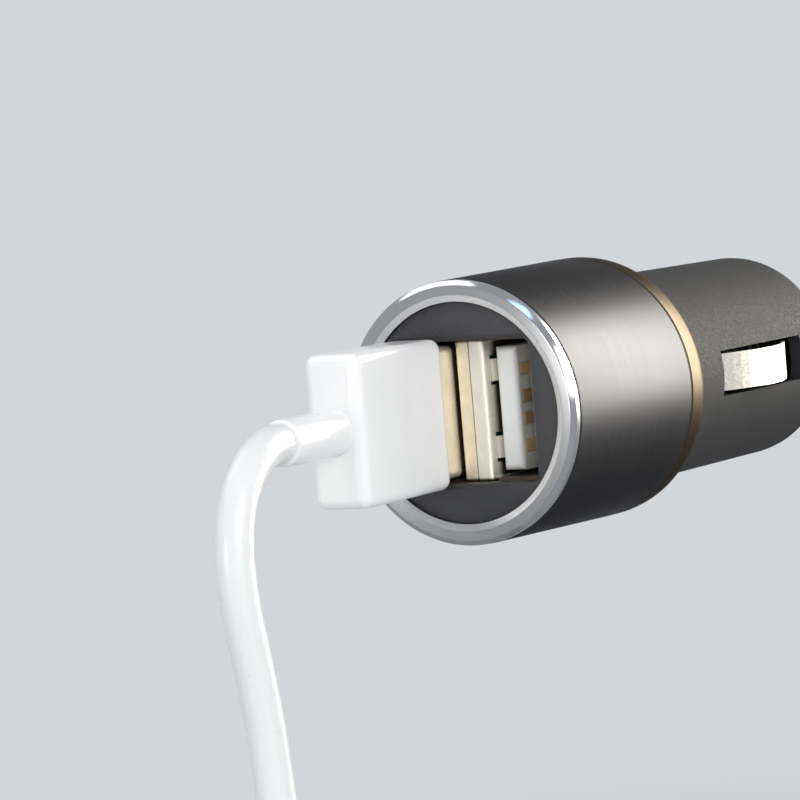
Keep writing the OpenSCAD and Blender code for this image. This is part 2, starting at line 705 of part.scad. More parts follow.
// A flat moulded package with rows of bent legs along Y
module chip(side, y, size, legs) on_board(side, y, 0) {
    stand = 0.1;
    translate([0, 0, stand + size[2] / 2]) cube([size[1], size[0], size[2]], center = true);
    for (m = [-1, 1], i = [0:legs - 1]) {
        x = m * (size[1] / 2 + 0.35);
        along = (i - (legs - 1) / 2) * size[0] / legs;
        translate([x, along, 0.1]) cube([0.9, 0.4, 0.2], center = true);
        translate([m * (size[1] / 2 + 0.1), along, 0.5]) cube([0.25, 0.4, 1], center = true);
    }
}

module charge_controller() color("#1a1a1c") chip(-1, charge_chip_y, charge_chip, 4);
module port_controller() color("#1e1e20") chip(-1, port_chip_y, port_chip, 3);

// A moulded diode on two end terminals
module rectifier_diode() color("#242426") on_board(1, diode_y, 0) {
    terminal = 0.7;
    stand = 0.1;
    translate([0, 0, stand + diode[2] / 2]) cube([diode[0], diode[1], diode[2]], center = true);
    for (m = [-1, 1]) translate([m * (diode[0] + terminal) / 2 - m * merge, 0, diode[2] / 4])
        cube([terminal, diode[1] / 2, diode[2] / 2], center = true);
}

// Small resistors and capacitors along both edges of the board, on both faces
module small_components() color("#b49a72") {
    size = [1.25, 2, 0.6];
    rows = 4;
    edge_z = board_h / 2 - guide_depth - size[0] - part_gap / 2;
    pitch = (board_end_y - board_wide_y) / rows;
    for (s = [-1, 1], m = [-1, 1], i = [0:rows - 1])
        on_board(s, board_wide_y + pitch * (i + 0.5), m * edge_z)
            translate([0, 0, size[2] / 2]) cube(size, center = true);
}

// The metal shell of the lead's plug, with two windows in each broad side
module plug_shell() color("#c9cacb") at_port(-1) difference() {
    along_y(ring_y + housing_depth - plug_root, plug_root + plug_len) difference() {
        round_rect(plug_w, plug_h, 0.6);
        round_rect(plug_w - 2 * plug_t, plug_h - 2 * plug_t, 0.3);
    }
    for (z = [-plug_h / 4, plug_h / 4])
        block([-plug_w, plug_tip_y - plug_hole_y - plug_hole, z - plug_hole / 2],
            [plug_w, plug_tip_y - plug_hole_y, z + plug_hole / 2]);
}

// The plug's insulator: a block in the root and a blade beside the port's tongue
module plug_insulator() color("#f4f4f2") at_port(-1) difference() {
    root_y = ring_y + housing_depth - plug_root + fit;
    shoulder_y = tongue_y - 0.5;
    along_y(root_y, plug_tip_y - 0.3 - root_y)
        round_rect(2 * (plug_x - fit), plug_h - 2 * plug_t - 2 * fit, plug_t);
    block([-plug_w, shoulder_y, -plug_h], [plug_blade_x, plug_tip_y, plug_h]);
    for (z = blade_z)
        block([plug_blade_x - 1, shoulder_y - 1, z - blade_w / 2 - fit],
            [plug_blade_x + 0.14, plug_tip_y - 1, z + blade_w / 2 + fit]);
}

module plug_contacts() color("#d6aa4c") at_port(-1)
    for (z = blade_z)
        block([plug_blade_x - 0.05, tongue_y - 1, z - blade_w / 2],
            [plug_blade_x + 0.1, plug_tip_y - 1.2, z + blade_w / 2]);

// The moulded grip of the plug, with a pocket for the metal shell
module plug_housing() color("#fbfbfb") at_port(-1) difference() {
    core = [housing_w, housing_len, housing_h] / 2 - [housing_r, housing_r, housing_r];
    hull() for (x = [-core[0], core[0]], y = [-core[1], core[1]], z = [-core[2], core[2]])
        translate([x, housing_y + housing_len / 2 + y, z]) sphere(housing_r, $fn = 24);
    block([-plug_w / 2 - fit, housing_y + housing_len - plug_root - fit, -plug_h / 2 - fit],
        [plug_w / 2 + fit, housing_y + housing_len + 1, plug_h / 2 + fit]);
}

// A short moulded collar with a rounded end, drawn along +Y
module collar_form(d, length) {
    soft = (d - lead_d) / 2;
    rotate([-90, 0, 0]) rotate_extrude() polygon(concat(
        [[0, 0], [lead_d / 2, 0]],
        arc([d / 2 - soft, soft], soft, -60, 0, 3),
        [[d / 2, length], [0, length]]
    ));
}

module cable_collar() color("#fbfbfb") at_port(-1) translate([0, boot_y, 0]) collar_form(boot_d, boot_len);

module cable_run() color("#fbfbfb") tube(run_points, lead_d, 8, [1, 0, 0]);

module cable_coil() color("#fbfbfb") translate(coil_centre) rotate([0, 90, 0])
    rotate_extrude($fn = 60) translate([coil_mean_r, 0]) round_rect(bundle, bundle, bundle_corner);

// A soft strap round the bundle, just past the place where the lead runs into it
module cable_tie() color("#e9e9e9") translate(coil_centre) rotate([tie_start, 0, 0]) rotate([0, 90, 0])
    rotate_extrude(angle = tie_angle, $fn = 60) translate([coil_mean_r, 0]) difference() {
        inside = bundle + 2 * slip;
        round_rect(inside + 2 * tie_t, inside + 2 * tie_t, bundle_corner + slip + tie_t);
        round_rect(inside, inside, bundle_corner + slip);
    }

module cable_tail() color("#fbfbfb") tube(tail_points, lead_d, 8, [1, 0, 0]);

// Places what is drawn along +Y so that it hangs from the end of the lead
module at_end(drop) translate(end_top - [0, 0, drop]) rotate([-90, 0, 0]) children();

module end_collar() color("#fbfbfb") at_end(0) collar_form(end_collar_d, end_collar_len);

module end_plug_body() color("#fbfbfb") translate(end_top - [0, 0, end_collar_len + end_body[2]])
    linear_extrude(height = end_body[2]) round_rect(end_body[0], end_body[1], end_body_r);

// The small oval plug at the far end, hollow in front
module end_plug_shell() color("#c9cacb")
    translate(end_top - [0, 0, end_collar_len + end_body[2] + end_shell[2]]) difference() {
        linear_extrude(height = end_shell[2]) round_rect(end_shell[0], end_shell[1], end_shell[1] / 2 - merge);
        translate([0, 0, -1]) linear_extrude(height = end_shell[2] - 0.5)
            round_rect(end_shell[0] - 2 * plug_t, end_shell[1] - 2 * plug_t, end_shell[1] / 2 - plug_t - merge);
    }

bezel_ring();
face_insert();
head_sleeve();
rear_collar();
socket_barrel();
nose_cap();
tip_contact();
tip_spring();
spring_seat();
ground_spring_right();
ground_spring_left();
port_shell_right();
port_shell_left();
port_tongue_right();
port_tongue_left();
port_contacts_right();
port_contacts_left();
circuit_board();
power_inductor();
inductor_winding();
input_capacitor();
output_capacitor();
charge_controller();
port_controller();
rectifier_diode();
small_components();
plug_shell();
plug_insulator();
plug_contacts();
plug_housing();
cable_collar();
cable_run();
cable_coil();
cable_tie();
cable_tail();
end_collar();
end_plug_body();
end_plug_shell();
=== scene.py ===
"""A charger with two data-plug ports and one white lead plugged in.

Lengths are in metres. The charger's axis is Y, its front ring faces -Y and Z is up. The origin is the centre
of the shoulder behind the head, where the barrel begins.
"""

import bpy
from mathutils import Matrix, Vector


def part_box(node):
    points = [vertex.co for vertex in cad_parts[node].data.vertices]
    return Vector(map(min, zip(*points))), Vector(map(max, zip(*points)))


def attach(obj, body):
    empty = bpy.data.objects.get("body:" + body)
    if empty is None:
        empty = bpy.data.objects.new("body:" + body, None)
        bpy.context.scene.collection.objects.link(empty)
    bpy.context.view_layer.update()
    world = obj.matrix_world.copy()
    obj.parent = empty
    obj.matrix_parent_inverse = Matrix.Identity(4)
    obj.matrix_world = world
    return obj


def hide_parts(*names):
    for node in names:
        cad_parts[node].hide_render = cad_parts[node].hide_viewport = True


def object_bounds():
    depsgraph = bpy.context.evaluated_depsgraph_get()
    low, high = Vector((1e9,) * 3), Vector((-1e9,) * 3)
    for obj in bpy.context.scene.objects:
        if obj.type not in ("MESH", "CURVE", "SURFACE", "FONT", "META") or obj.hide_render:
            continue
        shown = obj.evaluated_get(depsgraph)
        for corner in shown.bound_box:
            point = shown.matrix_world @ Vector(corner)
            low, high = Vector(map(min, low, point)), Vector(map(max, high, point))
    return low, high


bl_info = {
    "name": "Twin-port charger with plugged lead",
    "version": (1, 0, 0),
    "blender": (4, 5, 0),
    "location": "3D View > Sidebar > Charger",
    "description": "Makes the charger's shells, its lead, their finishes and the stage",
    "category": "Object",
}

import bmesh
import bpy
import numpy as np
from mathutils import Matrix

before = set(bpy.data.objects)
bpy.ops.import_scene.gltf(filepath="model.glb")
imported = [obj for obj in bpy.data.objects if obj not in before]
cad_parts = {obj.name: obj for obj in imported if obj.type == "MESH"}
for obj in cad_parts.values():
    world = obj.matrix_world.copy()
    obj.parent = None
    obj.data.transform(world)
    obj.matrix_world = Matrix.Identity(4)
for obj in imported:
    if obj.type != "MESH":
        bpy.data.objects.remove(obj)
cad_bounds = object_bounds()

MM = 0.001
TAU = 2 * np.pi

# The boxes that the new pieces are fitted to
RING_LOW, RING_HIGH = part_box("bezel_ring")
FACE_LOW, FACE_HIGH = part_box("face_insert")
SLEEVE_LOW, SLEEVE_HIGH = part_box("head_sleeve")
HOUSING_LOW, HOUSING_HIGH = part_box("plug_housing")
END_LOW, END_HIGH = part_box("end_plug_body")

# How far the middle of each port lies from the charger's axis
PORT_OFFSET = 4.05 * MM

# Width of the camera's sensor in millimetres
SENSOR = 36

# The lead's route down to its coil, and from the coil to its end, in millimetres
RUN_POINTS = [
    (-4.05, -47.2, 0), (-4.05, -48.6, 0), (-4.05, -50.5, -0.6), (-4.05, -52.3, -1.9),
    (-4.05, -53.9, -3.8), (-4.05, -54.9, -6.2), (-4.05, -55.3, -8.8), (-4.05, -55.2, -11.8),
    (-4.05, -54.6, -15.2), (-4.05, -53.8, -18.8), (-4.05, -53.1, -22.6), (-4.05, -52.6, -26.4),
    (-4, -52.3, -30.2), (-4, -52.1, -33.7), (-4, -51.4, -36.7), (-4, -49.9, -39.2),
    (-4, -47.5, -40.9), (-4, -44.5, -41.5),
]
TAIL_STEPS = [(0, 0), (2.9, -3.4), (5.6, -6.9), (7.6, -10.4), (8.9, -14.2), (9.4, -17.8), (9.4, -18.8)]

# Where the tail leaves the coil, in degrees past its top
TAIL_TURN = 50

# The coil's lanes in the order they are laid: outwards and along the coil's axis, in lead diameters
COIL_LANES = [(1, -1), (0, -1), (-1, -1), (-1, 0), (-1, 1), (0, 1), (0, 0), (1, 0), (1, 1)]


def linear(code):
    """Turns an sRGB hex colour into linear values: the power curve of sRGB with its straight foot."""
    s = np.array([int(code[i:i + 2], 16) for i in (0, 2, 4)]) / 255
    return tuple(float(v) for v in np.where(s <= 0.04045, s / 12.92, ((s + 0.055) / 1.055) ** 2.4))


def length(name, millimetres, description):
    """A length in the panel, given in millimetres."""
    return bpy.props.FloatProperty(
        name=name, description=description, default=millimetres * MM, unit="LENGTH", precision=5
    )


def colour(name, code, description):
    """A colour in the panel, given as sRGB hex."""
    return bpy.props.FloatVectorProperty(
        name=name, description=description, subtype="COLOR", size=3, min=0, max=1, default=linear(code)
    )


def number(name, value, description):
    """A plain number in the panel."""
    return bpy.props.FloatProperty(name=name, description=description, default=value)


def turn(name, degrees, description):
    """An angle in the panel, given in degrees."""
    return bpy.props.FloatProperty(
        name=name, description=description, subtype="ANGLE", default=float(np.radians(degrees))
    )


class HeadSizes(bpy.types.PropertyGroup):
    """Sizes of the ring, the face, the sleeve and the collar"""

    ring_radius: length("Ring radius", RING_HIGH.x / MM, "Outer radius of the front ring")
    edge_width: length("Edge width", 0.46, "Width of the ring's outer chamfer")
    edge_depth: length("Edge depth", 0.37, "Depth of the ring's outer chamfer")
    flat_width: length("Flat width", 0.82, "Width of the ring's brushed flat")
    bevel_width: length("Bevel width", 0.66, "Width of the ring's inner chamfer")
    bevel_depth: length("Bevel depth", 0.33, "Depth of the ring's inner chamfer")
    ledge_depth: length("Ledge depth", 1.05, "Depth of the ledge that holds the face")
    rim_depth: length("Rim depth", 0.95, "Depth of the ring's rim")
    window_width: length("Window width", 14.54, "Clear width of the face's window")
    window_height: length("Window height", 12.94, "Clear height of the face's window")
    window_side: length("Side chamfer", 0.27, "Chamfer of the window's sides")
    window_over: length("Upper chamfer", 0.42, "Chamfer of the window's top and bottom")
    window_corner: length("Window corner", 0.8, "Corner radius of the window")
    collar_length: length("Collar length", 2.9, "Length of the rear collar")
    soft_edge: length("Soft edge", 0.05, "Rounding of the metal's edges")


class LeadSizes(bpy.types.PropertyGroup):
    """Sizes of the lead and what is on it"""

    diameter: length("Diameter", 3.5, "Diameter of the lead")
    collar_diameter: length("Collar diameter", 4.1, "Diameter of the collar behind the plug")
    coil_radius: length("Coil radius", 18.2, "Mean radius of the lead's coil")
    tie_thickness: length("Tie thickness", 1.0, "Thickness of the band round the coil")
    housing_edge: length("Housing edge", 1.0, "Radius of the plug housing's edges")


class FinishColours(bpy.types.PropertyGroup):
    """Colours of the finishes"""

    aluminium: colour("Aluminium", "A8A8A9", "Turned flat of the ring")
    chamfer: colour("Outer chamfer", "AAAAAD", "Mirror-cut outer chamfer of the ring")
    inner_chamfer: colour("Inner chamfer", "DEDEDF", "Bright-cut inner chamfer of the ring")
    gunmetal: colour("Gunmetal", "3E3E40", "Dark anodised sleeve")
    gunmetal_collar: colour("Collar", "453F38", "Dark anodised collar")
    black: colour("Black", "2E2E31", "Moulded face and barrel")
    port: colour("Right port", "FEF6E8", "Plated sheet of the free port")
    port_warm: colour("Left port", "FCEED4", "Plated sheet of the port in use")
    plug: colour("Plug sheet", "F6EEDC", "Plated sheet of the plugs")
    nylon: colour("Nylon", "F6F6F3", "Contact tongues and insulators")
    white: colour("White", "F3F3F3", "Plug housing and collars")
    jacket: colour("Jacket", "E8E8E8", "The lead's jacket")
    copper: colour("Copper", "FFD6A6", "Port contacts")
    brass: colour("Brass", "C9A24E", "Spring seat and plug contacts")
    nickel: colour("Nickel", "B9B7B0", "Nose contact and ground springs")
    # Painted shade: the colour that port plating is darkened to deep in the ports and at their tops and bottoms
    port_shade: colour("Port shade", "4B3F34", "Painted shade deep in the ports")
    wire: colour("Spring wire", "9C9DA1", "Coil spring behind the nose contact")
    band: colour("Band", "D9D9D9", "Woven band of the tie")
    laminate: colour("Laminate", "1D6B3A", "Solder mask of the board")
    ferrite: colour("Ferrite", "35353A", "Core of the power inductor")
    enamel: colour("Enamel", "A95A26", "Winding of the power inductor")
    sleeve_blue: colour("Blue sleeve", "23355C", "Input capacitor")
    sleeve_black: colour("Black sleeve", "2B2B2F", "Output capacitor")
    epoxy: colour("Epoxy", "1C1C1E", "Controllers and diode")
    ceramic: colour("Ceramic", "B49A72", "Chip components")


class StageSettings(bpy.types.PropertyGroup):
    """The camera, the lights and the floor"""

    azimuth: turn("Azimuth", 32.5, "How far the camera stands to the right of the ring's axis")
    elevation: turn("Elevation", 4.05, "How far the camera stands above the ring's axis")
    roll: turn("Roll", -4.83, "Turn of the camera about its own axis")
    distance: length("Distance", 323.2, "From the camera to the plane of the ring's front")
    focal: number("Focal length", 162.0, "Focal length in millimetres, on a sensor 36 mm wide")
    backdrop: colour("Backdrop", "D3D6D9", "Colour of the floor and the background")
    ambient: number("Ambient", 0.44, "Strength of the even light")
    key: number("Key", 0.85, "Power of the large soft light above in watts")
    front: number("Front", 0.78, "Power of the soft light in front in watts")
    side: number("Side", 2.0, "Power of the soft light at the right in watts")
    strip: number("Strip", 12.0, "Power of the warm light behind the right side in watts")
    sky: number("Sky", 0.15, "Power of the small blue light in watts")


class ChargerSettings(bpy.types.PropertyGroup):
    """All the settings of the charger"""

    head: bpy.props.PointerProperty(type=HeadSizes)
    lead: bpy.props.PointerProperty(type=LeadSizes)
    colours: bpy.props.PointerProperty(type=FinishColours)
    stage: bpy.props.PointerProperty(type=StageSettings)


# Surfaces, worked out as arrays


def sheet(points, round_rows=False, round_cols=False, slot=0):
    """A surface through a grid of points. In a round direction the last line joins the first.

    slot is one finish for all of it, or one for each step along a row.
    """
    rows, cols = points.shape[:2]
    steps = cols - (not round_cols)
    i, j = np.meshgrid(np.arange(rows - (not round_rows)), np.arange(steps), indexing="ij")
    i2, j2 = (i + 1) % rows, (j + 1) % cols
    quads = np.stack([i * cols + j, i2 * cols + j, i2 * cols + j2, i * cols + j2], -1).reshape(-1, 4)
    slots = np.tile(np.broadcast_to(slot, steps), len(i))
    return points.reshape(-1, 3), quads.tolist(), slots.tolist()


def cap(loop, slot=0):
    """A flat face that closes a loop of points."""
    return loop, [list(range(len(loop)))], [slot]


def closed_tube(loops, slot=0):
    """A closed body through a stack of loops, with a flat face on the first and the last."""
    return [sheet(loops, round_cols=True, slot=slot), cap(loops[0], slot), cap(loops[-1], slot)]


def turned(outline, steps=192):
    """Turns an outline of radius and distance about the Y axis: x = r cos a, y = distance, z = r sin a."""
    angle = np.linspace(0, TAU, steps, endpoint=False)[:, None]
    radius = outline[:, 0]
    along = np.broadcast_to(outline[:, 1], (steps, len(outline)))
    return np.stack([radius * np.cos(angle), along, radius * np.sin(angle)], -1)


def soften(corners, steps=4):
    """Rounds the corners of an outline. A corner is (u, v, reach, slot).

    A parabola leaves the straight side at the reach before the corner and meets the next side at the reach
    after it: (1 - t)^2 times its start, plus 2 t (1 - t) times the corner, plus t^2 times its end. slot is the
    finish of the side that follows.
    """
    place = np.array([c[:2] for c in corners], float)[:, None]
    reach = np.array([c[2] for c in corners], float)[:, None, None]
    start, end = (
        place + reach * way / np.maximum(np.linalg.norm(way, axis=-1, keepdims=True), 1e-12)
        for way in (np.roll(place, 1, 0) - place, np.roll(place, -1, 0) - place)
    )
    t = np.linspace(0, 1, steps + 1)[None, :, None]
    curve = start * (1 - t) ** 2 + 2 * place * t * (1 - t) + end * t ** 2
    return curve.reshape(-1, 2), np.repeat([c[3] for c in corners], steps + 1)


def round_rectangle(width, height, corner, steps=8):
    """The outline of a rectangle with quarter circles at its corners: every size has as many points."""
    quarter = np.linspace(0, np.pi / 2, steps + 1)
    angle = (quarter + np.arange(4)[:, None] * np.pi / 2).ravel()
    sign_u = np.repeat([1, -1, -1, 1], steps + 1)
    sign_v = np.repeat([1, 1, -1, -1], steps + 1)
    u = sign_u * (width / 2 - corner) + corner * np.cos(angle)
    v = sign_v * (height / 2 - corner) + corner * np.sin(angle)
    return np.stack([u, v], -1)


def loft(outlines, stations, centre=(0, 0), axis=1):
    """Places outlines at stations along Y (axis 1) or Z (axis 2), round a centre across them."""
    outlines = np.asarray(outlines) + np.asarray(centre)
    along = np.broadcast_to(np.asarray(stations, float)[:, None], outlines.shape[:2])
    u, v = outlines[..., 0], outlines[..., 1]
    return np.stack([u, along, v] if axis == 1 else [u, v, along], -1)


def pillow(width, height, corner, start, end, edge, steps=6):
    """Outlines and stations of a rounded box: at both ends it draws in along a quarter circle.

    At an angle a on the quarter circle, the outline is edge (1 - sin a) in, and edge (1 - cos a) from the end.
    """
    angle = np.linspace(0, np.pi / 2, steps + 1)
    draw = edge * (1 - np.sin(angle))
    rise = edge * (1 - np.cos(angle))
    draws = np.concatenate([draw, draw[::-1]])
    stations = np.concatenate([start + rise, end - rise[::-1]])
    outlines = [round_rectangle(width - 2 * d, height - 2 * d, max(corner - d, 1e-6)) for d in draws]
    return outlines, stations


def window_outline(width, height, corner, angle):
    """Where a ray from the middle at each angle meets a rectangle with round corners.

    The ray meets a side at the smaller of half the width over |cos| and half the height over |sin|. Where that
    point lies in a corner's square, the ray meets the corner's circle instead.
    """
    ray = np.stack([np.cos(angle), np.sin(angle)], -1)
    half = np.array([width, height]) / 2
    reach = (half / np.maximum(np.abs(ray), 1e-9)).min(-1, keepdims=True)
    point = ray * reach
    centre = np.sign(ray) * (half - corner)
    in_corner = (np.abs(point) > half - corner).all(-1, keepdims=True)
    along = (ray * centre).sum(-1, keepdims=True)
    root = np.sqrt(np.maximum(along ** 2 - (centre ** 2).sum(-1, keepdims=True) + corner ** 2, 0))
    return np.where(in_corner, ray * (along + root), point)


def put(name, data):
    """A new object in the scene."""
    item = bpy.data.objects.new(name, data)
    bpy.context.scene.collection.objects.link(item)
    return item


def facing(right, up, back, place):
    """The place of a camera or lamp that looks away from its back."""
    return Matrix([[right[i], up[i], back[i], place[i]] for i in range(3)] + [[0, 0, 0, 1]])


def make(name, patches, finishes, nodes, body="root", sharp=32):
    """Joins patches into one closed mesh, which stands for the nodes and rides on their body.

    Edges that bend by more than sharp, in degrees, are shaded as edges.
    """
    starts = np.cumsum([0] + [len(p[0]) for p in patches])
    points = np.concatenate([p[0] for p in patches])
    faces = [[int(i + s) for i in f] for p, s in zip(patches, starts) for f in p[1]]
    mesh = bpy.data.meshes.new(name)
    mesh.from_pydata(points.tolist(), [], faces)
    mesh.polygons.foreach_set("material_index", np.concatenate([p[2] for p in patches]).astype(np.int32))
    shape = bmesh.new()
    shape.from_mesh(mesh)
    bmesh.ops.remove_doubles(shape, verts=shape.verts, dist=1e-7)
    bmesh.ops.recalc_face_normals(shape, faces=shape.faces)
    shape.to_mesh(mesh)
    shape.free()
    mesh.polygons.foreach_set("use_smooth", np.ones(len(mesh.polygons), bool))
    mesh.set_sharp_from_angle(angle=float(np.radians(sharp)))
    for finish in finishes:
        mesh.materials.append(finish)
    piece = put(name, mesh)
    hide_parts(*nodes)
    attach(piece, body)
    return piece


def dress(finish, *nodes):
    """Gives CAD nodes a finish."""
    for node in nodes:
        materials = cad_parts[node].data.materials
        if not len(materials):
            materials.append(finish)
        for i in range(len(materials)):
            materials[i] = finish


# Finishes


def add(tree, kind, inputs=None, **settings):
    """Adds a shader node. An input that is another node's output becomes a link, any other input a value."""
    node = tree.nodes.new("ShaderNode" + kind)
    for key, value in settings.items():
        setattr(node, key, value)
    for key, value in (inputs or {}).items():
        if isinstance(value, bpy.types.NodeSocket):
            tree.links.new(value, node.inputs[key])
        else:
            node.inputs[key].default_value = value
    return node


def finish(name, base, **sockets):
    """A new material with one shader: gives the material, its tree, the shader and object space."""
    found = bpy.data.materials.get(name)
    if found:
        bpy.data.materials.remove(found)
    material = bpy.data.materials.new(name)
    material.use_nodes = True
    tree = material.node_tree
    tree.nodes.clear()
    shader = add(tree, "BsdfPrincipled", {"Base Color": (*base, 1), **sockets})
    add(tree, "OutputMaterial", {"Surface": shader.outputs[0]})
    space = add(tree, "TexCoord").outputs["Object"]
    return material, tree, shader, space


def tint(tree, shader, base, pattern, dark, light):
    """Colours the shader with the base times a grey between dark and light, following the pattern."""
    low, high = ((*(min(c * share, 1) for c in base), 1) for share in (dark, light))
    mix = add(tree, "Mix", {0: pattern, 6: low, 7: high}, data_type="RGBA")
    tree.links.new(mix.outputs[2], shader.inputs["Base Color"])


def relief(tree, shader, pattern, roughness, smooth, rough, depth, strength=1.0):
    """A fine pattern that stands out by its depth, and moves the roughness between two shares of its value.

    Noise lies mostly between 0.3 and 0.7, so that span is drawn out.
    """
    span = {"From Min": 0.3, "From Max": 0.7, "To Min": roughness * smooth, "To Max": roughness * rough}
    level = add(tree, "MapRange", {"Value": pattern, **span})
    tree.links.new(level.outputs[0], shader.inputs["Roughness"])
    bump = add(tree, "Bump", {"Strength": strength, "Distance": depth * MM, "Height": pattern})
    tree.links.new(bump.outputs[0], shader.inputs["Normal"])


def turned_metal(name, base, roughness, spacing, depth, contrast, anisotropic, edge):
    """Metal turned on a lathe: fine lines run round the axis, so a light is drawn out across them.

    The pattern is four-dimensional noise: it changes over the spacing with the radius and with the distance
    along the axis, and over 14 mm round the axis. The lines are drawn wider than the tool's feed, which is too
    fine to show. edge is how much of the metal's brightening towards grazing view is kept: a dyed oxide layer
    takes part of it away.
    """
    material, tree, shader, space = finish(
        name, base, Metallic=1.0, Roughness=roughness, Anisotropic=anisotropic,
        **{"Anisotropic Rotation": 0.25, "Specular Tint": (edge, edge, edge, 1)},
    )
    split = add(tree, "SeparateXYZ", {0: space})
    across = add(tree, "CombineXYZ", {"X": split.outputs["X"], "Z": split.outputs["Z"]})
    radius = add(tree, "VectorMath", {0: across.outputs[0]}, operation="LENGTH").outputs["Value"]
    fast, slow = 1 / (spacing * MM), 1 / (14 * MM)
    ways = split.outputs
    rates = [(ways["Y"], fast), (ways["X"], slow), (radius, fast), (ways["Z"], slow)]
    along, x, r, z = (
        add(tree, "Math", {0: value, 1: rate}, operation="MULTIPLY").outputs[0] for value, rate in rates
    )
    place = add(tree, "CombineXYZ", {"X": x, "Y": r, "Z": z}).outputs[0]
    lines = add(
        tree, "TexNoise", {"Vector": place, "W": along, "Scale": 1.0, "Detail": 2.0, "Roughness": 0.6},
        noise_dimensions="4D",
    ).outputs[0]
    relief(tree, shader, lines, roughness, 0.92, 1.08, depth)
    tint(tree, shader, base, lines, 1 - contrast, 1 + contrast)
    tangent = add(tree, "Tangent", direction_type="RADIAL", axis="Y")
    tree.links.new(tangent.outputs[0], shader.inputs["Tangent"])
    return material


def drawn_metal(name, base, roughness, across, contrast, along=(1, 0.04, 1), metallic=1.0):
    """Rolled and stamped sheet with thin plating: faint streaks follow the direction in which it was drawn.

    across is the streaks' spacing in millimetres, and along is how fast the pattern changes in each direction.
    The streaks cloud over 1.6 mm. A matt plating, which also scatters light, is less than fully metallic.
    """
    material, tree, shader, space = finish(name, base, Metallic=metallic, Roughness=roughness)
    scale = tuple(a / (across * MM) for a in along)
    place = add(tree, "Mapping", {"Vector": space, "Scale": scale}).outputs[0]
    streaks = add(
        tree, "TexNoise", {"Vector": place, "Scale": 1.0, "Detail": 3.0, "Roughness": 0.65}
    ).outputs[0]
    cloud = add(tree, "TexNoise", {"Vector": space, "Scale": 1 / (1.6 * MM), "Detail": 2.0}).outputs[0]
    both = add(tree, "Math", {0: streaks, 1: cloud}, operation="MULTIPLY").outputs[0]
    mix = add(tree, "MapRange", {"Value": both, "From Min": 0.12, "From Max": 0.4}).outputs[0]
    tint(tree, shader, base, mix, 1 - contrast, 1 + contrast)
    relief(tree, shader, streaks, roughness, 0.75, 1.3, 0.006, 0.6)
    return material


def paint_port_shade(plating, port_shade, start, end, height, inner=None):
    """Paints shade into plating inside a port: between two depths behind the ring, and beyond a height above or
    below, its colour is darkened to the shade colour, where shade falls in the socket.

    inner is half the width, about the middle of each port, within which the spring fingers are left bright. All
    are in millimetres.
    """
    fade_in, fade_up = 0.06, 0.2
    tree = plating.node_tree
    shader = tree.nodes["Principled BSDF"]
    bright = shader.inputs["Base Color"].links[0].from_socket
    place = add(tree, "SeparateXYZ", {0: tree.nodes["Texture Coordinate"].outputs["Object"]})
    depth = add(
        tree, "MapRange",
        {"Value": place.outputs["Y"], "From Min": RING_LOW.y + start * MM, "From Max": RING_LOW.y + end * MM},
    ).outputs[0]
    if inner:
        # How far a point lies from the middle of its port: ||x| - offset|
        across = place.outputs["X"]
        for step in ("ABSOLUTE", "SUBTRACT", "ABSOLUTE"):
            across = add(tree, "Math", {0: across, 1: PORT_OFFSET}, operation=step).outputs[0]
        span = {"From Min": inner * MM, "From Max": (inner + fade_in) * MM}
        wall = add(tree, "MapRange", {"Value": across, **span}).outputs[0]
        depth = add(tree, "Math", {0: depth, 1: wall}, operation="MULTIPLY").outputs[0]
    up = add(tree, "Math", {0: place.outputs["Z"]}, operation="ABSOLUTE").outputs[0]
    span = {"From Min": height * MM, "From Max": (height + fade_up) * MM}
    ends = add(tree, "MapRange", {"Value": up, **span}).outputs[0]
    # Painted shade: where the depth or height mask is high, the plating's own colour is mixed towards the shade
    # colour
    shade_share = add(tree, "Math", {0: depth, 1: ends}, operation="MAXIMUM").outputs[0]
    mix = add(tree, "Mix", {0: shade_share, 6: bright, 7: (*port_shade, 1)}, data_type="RGBA")
    tree.links.new(mix.outputs[2], shader.inputs["Base Color"])
    return plating


def moulded(name, base, roughness, grain, depth, contrast, **sockets):
    """A moulded plastic: the tool's grain shows as small pits, and the colour clouds a little over 5 mm."""
    material, tree, shader, space = finish(name, base, Roughness=roughness, **sockets)
    pits = add(
        tree, "TexNoise", {"Vector": space, "Scale": 1 / (grain * MM), "Detail": 3.0, "Roughness": 0.6}
    ).outputs[0]
    cloud = add(tree, "TexNoise", {"Vector": space, "Scale": 1 / (5 * MM), "Detail": 2.0}).outputs[0]
    tint(tree, shader, base, cloud, 1 - contrast, 1 + contrast)
    relief(tree, shader, pits, roughness, 0.85, 1.2, depth)
    return material


# Operators, in the order in which the charger is made


class PlaceCamera(bpy.types.Operator):
    """Places the camera where the photograph was taken from"""

    bl_idname = "charger.camera"
    bl_label = "Place camera"

    def execute(self, context):
        stage = context.scene.charger.stage
        # Where the ring's centre lies in the frame, from its middle, in thousandths of the frame's width
        ring_right, ring_down = 73.0, 17.1
        a, e, r = stage.azimuth, stage.elevation, stage.roll
        back = np.array([np.sin(a) * np.cos(e), -np.cos(a) * np.cos(e), np.sin(e)])
        level = np.array([np.cos(a), np.sin(a), 0])
        upright = np.cross(back, level)
        right = np.cos(r) * level + np.sin(r) * upright
        up = np.cos(r) * upright - np.sin(r) * level
        per_width = stage.distance * SENSOR / stage.focal
        ring = np.array([0, RING_LOW.y, 0])
        place = ring - right * ring_right / 1000 * per_width + up * ring_down / 1000 * per_width
        place = place + back * stage.distance
        lens = bpy.data.cameras.new("Camera")
        lens.sensor_width = SENSOR
        lens.lens = stage.focal
        lens.clip_start, lens.clip_end = 0.01, 20
        camera = put("Camera", lens)
        camera.matrix_world = facing(right, up, back, place)
        context.scene.camera = camera
        return {"FINISHED"}


